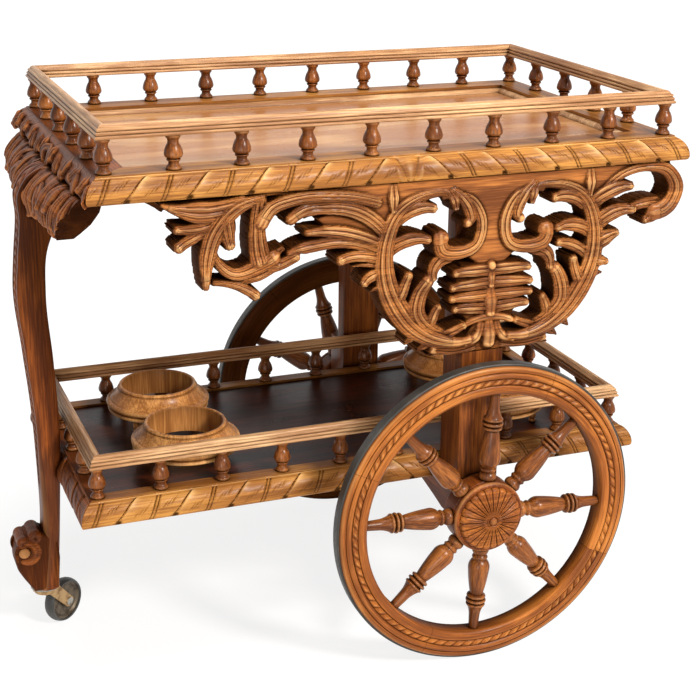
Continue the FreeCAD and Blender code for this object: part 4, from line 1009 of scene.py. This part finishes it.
# Behind the ribs, and in the neck above the upright
FRONT_GROUND = [
    [(-46, -126), (-54, -150), (-52, -186), (-34, -210), (34, -210), (52, -186), (54, -150), (46, -126)],
    [(-40, -236), (-40, -258), (26, -258), (26, -236), (12, -206), (-12, -206)],
]
MIDDLE_LEAVES = [
    ([(0, -136), (0.5, -148), (0, -158)], [12, 13, 12], 1),
    ([(0, -166), (0.5, -183), (0, -198)], [16, 24, 18], 1),
    ([(-34, -214), (0, -206), (34, -214)], [12, 14, 12], 1),
    ([(0, -218), (0.5, -231), (0, -242)], [18, 24, 22], 1),
]
RIB_WIDTHS = [18, 18, 14]
BALLS = [
    ((80, -84), 12.5, 11.0),
    ((-80, -84), 12.5, 11.0),
    ((41, -65), 8.0, 10.0),
    ((-41, -65), 8.0, 10.0),
    ((0, -131), 7.0, 9.0),
]
# The back apron is shallower, and has these in place of what reaches below it
BACK_SCROLL = ([(72, -22), (112, -25), (145, -45), (161, -80), (164, -120)], [9, 16, 22, 26, 28], 4)
BACK_PENDANT = ([(0, -116), (0.5, -128), (0, -138)], [26, 20, 12], 1)
APRON_DROP = {"front": 258.0, "back": 150.0}
APRON_SHIFT = 7.0         # axle to the middle of the carving
BACK_POST_RISE = 40.0     # shelf to the shoulder of the back upright


def mirrored(points):
    return [(-x, z) for x, z in points]


def both_sides(leaves):
    return leaves + [(mirrored(points), widths, strands) for points, widths, strands in leaves]


def above(leaves, drop):
    """Those leaves that stay within some depth."""
    return [one for one in leaves if all(z - width / 2 > -drop for (x, z), width in zip(*one[:2]))]


def apron(side):
    node = f"apron_{side}"
    top = box(node)[1][2]
    middle = sum(box(f"{side}_wheel_rosette"))[0] / 2 + APRON_SHIFT
    back = off_middle(node)[0]
    thick = off_middle(f"upright_{side}")[1] - back
    if side == "front":
        ribs = [([(4, stem), (0.5 * length, (stem + tip) / 2 + 1), (length, tip)], RIB_WIDTHS, 3)
                for stem, tip, length in RIBS]
        leaves = LEFT_LEAVES + RIGHT_LEAVES + MIDDLE_LEAVES + both_sides(PAIRED_LEAVES + ribs)
        ground = GROUND + FRONT_GROUND
    else:
        leaves = above(LEFT_LEAVES + RIGHT_LEAVES + both_sides(PAIRED_LEAVES), APRON_DROP[side])
        leaves += both_sides([BACK_SCROLL]) + [BACK_PENDANT]
        ground = GROUND
    shape = Shape()
    pierced_board(shape, lambda along, up, out: xyz(middle + along, WAY[side] * (back + out), top + up),
                  leaves, ground, BALLS, APRON_DROP[side], thick)
    shape.build(node, apron_wood, "carved_wood")


# Leg, end apron and uprights

LEG_SIDE = 24.0           # half of the leg's width
LEG_TOP, LEG_END = 739.9, 80.0
FACE = 20.0               # half of its carved face, before that is fitted between the corners
STRIP_LEAF = 13.0         # length of one leaf of the strip on it
LEG_FRONT = [(0, 740), (30, 727), (45, 704), (46, 661), (52, 605), (56, 555), (49, 460), (41, 351), (40, 280),
             (41, 170), (46, 130), (52, 80)]
LEG_BACK = [(-31, 740), (-10, 667), (10, 615), (15, 555), (10, 450), (7, 311), (14, 189), (18, 131), (22, 80)]
FOOT = [(36, 172), (44, 177), (54, 179), (64, 176), (74, 170), (79.5, 161), (82.5, 150), (84.5, 137),
        (83, 123), (76, 108), (67, 93), (59, 80), (22, 80), (18, 131), (20, 172)]
FOOT_CURVED = 12          # points of the foot's outline that lie on a smooth curve
FOOT_ROLLS = [((71.5, 164), 10.2), ((54, 171), 11.5)]
SCROLL = (65.0, 147.7)
SCROLL_RADIUS = 21.0
BOSS = (71.5, 149.5)      # round button on the foot's side
BOSS_RADIUS = 8.6
END_REACH = 232.0         # cart's middle plane to the far end of an end apron
END_DROP = 66.0
END_BOTTOM = [(LEG_SIDE, -74), (45, -65), (70, -59), (100, -64), (120, -59), (140, -58), (160, -62), (175, -66),
              (190, -55), (205, -42), (220, -29), (END_REACH, -18)]
END_CURVE = [(0, 0.12), (0.14, 0.6), (0.5, 1.0), (1.0, 0.85), (1.15, 0.8)]


def past_edge(out, y, z):
    """Takes distances out past the top's left edge, along Y, and up to the part's frame."""
    return xyz(box("top_border_left")[0][0] - out, y, z)


def leg():
    level = np.linspace(LEG_TOP, LEG_END, 330)
    front, back = (spline(points, 1.0)[0].T for points in (LEG_FRONT, LEG_BACK))
    x_front, x_back = (np.interp(-level, -z, x) for x, z in (front, back))
    face_y = np.linspace(-FACE, FACE, 41)
    turns = np.linspace(0.25, pi / 2, 6)
    rings, shades = [], []
    for z, f, b in zip(level, x_front, x_back):
        strip = unit((15.5 - np.abs(face_y)) / 1.5) * unit((z - 240) / 20)
        zigzag = np.sin(pi * (z + 0.9 * np.abs(face_y)) / STRIP_LEAF)
        chain = np.abs(zigzag) ** 0.7 * unit(1 - (face_y / 16.5) ** 2)
        rib = groove(face_y, 2.2) * (0.5 + 0.5 * np.cos(2 * pi * z / STRIP_LEAF))
        stand = strip * (3.2 * chain + 1.5 * rib - 2.4)
        soft = min(np.interp(z, (80, 270, 350), (12, 14, 4)), 0.44 * (f - b))
        flat = LEG_SIDE - soft
        corner = [(soft * (1 - cos(t)), flat + soft * sin(t)) for t in turns]
        side = [(f - d, y) for d, y in corner]
        side += [(a, LEG_SIDE) for a in np.linspace(f - soft, b + soft, 5)[1:-1]]
        side += [(b + d, y) for d, y in reversed(corner)]
        ring = [(f + h, y * flat / FACE) for h, y in zip(stand, face_y)] + side
        ring += [(b, y) for y in np.linspace(flat, -flat, 9)] + [(a, -y) for a, y in reversed(side)]
        rings.append(ring)
        # The plain sides are painted light on the lower leg and dark higher up, a painted shadow of the top,
        # and darker away from the carved face: painted shade.
        painted_light_by_height = np.interp(z, (80, 260, 420, 740), (0.6, 0.5, 0.22, 0.12))
        across = (f - np.array(ring)[:, 0]) / (f - b)
        shade = unit(painted_light_by_height * (1.5 - 0.95 * across))
        shade[:len(face_y)] = np.clip(0.5 + 0.25 * stand, 0.05, 1)
        shade[[0, len(face_y) - 1]] = 0.5
        shades.append(shade)
    a, y = np.moveaxis(rings, -1, 0)
    z = level[:, None]
    shape = Shape()
    shape.grid(past_edge(a, y, z), np.array(shades), xyz(z, a, y))

    foot = spline(FOOT[:FOOT_CURVED], 3.0)[0].tolist() + FOOT[FOOT_CURVED:]
    slab(shape, lambda a, z, y: past_edge(a, y, z), foot, 0.4 - LEG_SIDE, LEG_SIDE - 0.4, soft=5.0, wear=0.2)
    volute(shape)
    for (a, z), radius in FOOT_ROLLS:
        roll = profile((0.5, -25.0), ((0.8 * radius, -23.5), (radius, -17)), (0.9 * radius, -6), (radius, 0),
                       (0.9 * radius, 6), (radius, 17), ((0.8 * radius, 23.5), (0.5, 25.0)))
        lathe(shape, roll, lambda x, y, h: past_edge(a + x, h, z + y), count=24)
    shape.build("leg", leg_wood, "dark_wood")


def volute(shape):
    """Scroll on each side of the foot: a round button with a curled roll beside it."""
    radius = np.linspace(0.3, SCROLL_RADIUS, 46)[:, None]
    angle = np.linspace(0, 2 * pi, 84, endpoint=False)[None, :]
    a = SCROLL[0] + radius * np.cos(angle)
    z = SCROLL[1] + radius * np.sin(angle)
    gap = np.hypot(a - BOSS[0], z - BOSS[1])
    button = 6.0 * np.sqrt(unit(1 - (gap / BOSS_RADIUS) ** 2))
    shut = unit((SCROLL_RADIUS - radius) / 3.0)
    inward = unit((BOSS[0] + 8.0 - a) / 12.0)
    curl = groove(gap - 16.5, 4.2) * inward + 0.5 * groove(gap - 24.0, 2.4) * inward
    high = LEG_SIDE - 0.9 + np.where(gap < BOSS_RADIUS, 0.8 + button, 4.2 * curl * shut)
    high = np.concatenate([high, np.full_like(angle, LEG_SIDE - 6.0)])
    # The button is kept pale, a painted highlight, and the curl lighter as it rises.
    wear = np.where(gap < BOSS_RADIUS, 0.95, 0.2 + 0.4 * curl)
    a, z, wear = (np.concatenate([field, field[-1:]]) for field in (a, z, wear))
    for way in (-1, 1):
        shape.grid(past_edge(a, way * high, z), wear)


def end_apron(side):
    node = f"end_apron_{side}"
    y = np.linspace(LEG_SIDE, END_REACH, 190)[:, None]
    swell = np.interp(y, (LEG_SIDE, END_REACH), (40, 24))
    bottom = np.interp(y, *zip(*END_BOTTOM))
    share = np.linspace(0, 1, 64)[None, :]
    up = bottom * share
    base = swell * np.interp(-up / END_DROP, *spline(END_CURVE, 0.02)[0].T)
    steps = np.hypot(np.diff(base, axis=1, prepend=0.0), np.diff(up, axis=1, prepend=0.0))
    leaves = strewn_leaves(length=236.0, depth=92.0, count=15, widest=34.0, seed=5)
    height = leaf_relief(y, -np.cumsum(steps, axis=1), leaves, rise=8.0, gouge=2.0)[0]
    wear = relief_wear(height, np.ones(up.shape), fine=1.8, broad=6.0)
    # The bottom edge of the front is kept dark: painted shade.
    wear[:, -1] = 0.0
    front = base + (height - 5.0) * unit((1.04 - share) / 0.08)
    back_up = bottom * np.linspace(1, 0, 12)
    back = np.interp(-back_up / END_DROP, [0, 0.6, 1.15], [-31, -18, 6])
    out = np.concatenate([front, np.minimum(back, base[:, -1:] - 6.0)], axis=1)
    z = box(node)[1][2] + np.concatenate([up, back_up], axis=1)
    # The back and both ends are kept dark too: painted shade.
    wear = np.concatenate([wear, np.zeros(back.shape)], axis=1)
    wear[[0, -1]] = 0.0
    y = WAY[side] * y
    shape = Shape()
    shape.grid(past_edge(out, y, z), wear, xyz(y, z, out))
    shape.build(node, dark_wood, "dark_wood")


def upright(side):
    """Board beside the wheel with a step behind the apron and softened edges."""
    node = f"upright_{side}"
    low, high = box(node)
    inner, outer = off_middle(node)
    cheek = off_middle(f"apron_{side}")[0]
    shoulder = high[2] - APRON_DROP[side]
    if side == "back":
        shoulder = box("shelf_border_back")[1][2] + BACK_POST_RISE
    corners = [(inner, low[2]), (outer, low[2]), (outer, shoulder), (cheek, shoulder), (cheek, high[2]),
               (inner, high[2])]
    shape = Shape()
    slab(shape, lambda y, z, x: xyz(x, WAY[side] * y, z), corners, low[0], high[0])
    shape.build(node, upright_wood, "dark_wood")


# The scene

tray("top")
tray("shelf")
bottle_rings()
wheels()
apron("front")
apron("back")
leg()
for side in WAY:
    end_apron(side)
    upright(side)

CAD_LOOKS = {
    "top_panel": top_veneer,
    "shelf_panel": shelf_wood,
    "top_bead": bead_wood,
    "axle_beam": beam_wood,
    "front_wheel_bush": brass, "back_wheel_bush": brass,
    "stub_axles": steel, "axle_washers": steel, "axle_nuts": steel,
    "caster_plate": steel, "caster_screws": steel, "caster_pin": steel, "caster_wheel": disc_metal,
    "caster_fork": horn_metal, "caster_tyre": caster_rubber,
}
for node, material in CAD_LOOKS.items():
    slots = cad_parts[node].data.materials
    slots.clear()
    slots.append(material)

# Camera at the photograph's place: yaw, tilt and roll in radians, focal length in picture widths
CAMERA_PLACE = Vector((-0.7378, -2.0437, 1.1931))
YAW, TILT, ROLL = 0.3745, 0.3449, -0.0119
FOCAL = 1464.74 / 700
ahead = Vector((sin(YAW) * cos(TILT), cos(YAW) * cos(TILT), -sin(TILT)))
level_right = Vector((cos(YAW), -sin(YAW), 0))
level_down = ahead.cross(level_right)
right = cos(ROLL) * level_right + sin(ROLL) * level_down
down = cos(ROLL) * level_down - sin(ROLL) * level_right
lens = bpy.data.cameras.new("camera")
lens.sensor_width = 36.0
lens.lens = FOCAL * lens.sensor_width
camera = bpy.data.objects.new("camera", lens)
camera.matrix_world = Matrix.Translation(CAMERA_PLACE) @ Matrix((right, -down, -ahead)).transposed().to_4x4()
bpy.context.scene.collection.objects.link(camera)
bpy.context.scene.camera = camera


def lamp(name, place, aim, size, power, tint):
    data = bpy.data.lights.new(name, "AREA")
    data.shape = "DISK"
    data.size = size
    data.energy = power
    data.color = tint
    lamp_object = bpy.data.objects.new(name, data)
    lamp_object.location = place
    lamp_object.rotation_euler = (Vector(aim) - Vector(place)).to_track_quat("-Z", "Y").to_euler()
    bpy.context.scene.collection.objects.link(lamp_object)


lamp("key", (1.3, -2.9, 2.5), (0.0, 0.0, 0.45), size=0.7, power=150, tint=(1.0, 0.96, 0.9))
lamp("fill", (-1.5, -3.0, 0.8), (0.0, 0.0, 0.4), size=1.4, power=34, tint=(1.0, 0.95, 0.87))
lamp("over", (0.0, -0.5, 3.0), (0.0, 0.0, 0.6), size=1.4, power=48, tint=(1.0, 0.98, 0.95))

# Floor and surroundings: white to the camera, plain soft light otherwise

def white_to_camera(n, white, share):
    """Mixes a shader with white light for what the camera sees, straight, mirrored or through something."""
    path = n.add("ShaderNodeLightPath").outputs
    seen = path["Is Camera Ray"]
    for ray in ("Is Glossy Ray", "Is Transmission Ray"):
        seen = n.math("MAXIMUM", seen, path[ray])
    mix = n.add("ShaderNodeMixShader")
    for socket, value in zip(mix.inputs, (n.times(seen, share), n.shader.outputs[0], white.outputs[0])):
        n.put(socket, value)
    n.put(n.result.inputs["Surface"], mix.outputs[0])


FLOOR = 30.0              # half of the floor's width, in metres
floor_mesh = bpy.data.meshes.new("floor")
floor_mesh.from_pydata([(-FLOOR, -FLOOR, 0), (FLOOR, -FLOOR, 0), (FLOOR, FLOOR, 0), (-FLOOR, FLOOR, 0)], [],
                       [(0, 1, 2, 3)])
floor = bpy.data.objects.new("floor", floor_mesh)
bpy.context.scene.collection.objects.link(floor)

paper = Nodes(bpy.data.materials.new("floor_paper"))
floor_mesh.materials.append(paper.finish(Base_Color=(0.88, 0.88, 0.87, 1), Roughness=0.9))
away = paper.add("ShaderNodeVectorMath", Vector=paper.add("ShaderNodeTexCoord").outputs["Object"])
away.operation = "LENGTH"
fading = paper.add("ShaderNodeMapRange", Value=away.outputs["Value"], From_Min=0.45, From_Max=1.1,
                   To_Min=0.74, To_Max=1.0)
white_to_camera(paper, paper.add("ShaderNodeEmission", Strength=1.12), fading.outputs[0])

world = bpy.data.worlds.new("surroundings")
bpy.context.scene.world = world
sky = Nodes(world, "Background", "World Output")
sky.finish(Color=(1.0, 0.97, 0.92, 1), Strength=0.2)
white_to_camera(sky, sky.add("ShaderNodeBackground", Color=(1, 1, 1, 1)), 1.0)

bpy.context.scene.view_settings.view_transform = "Standard"
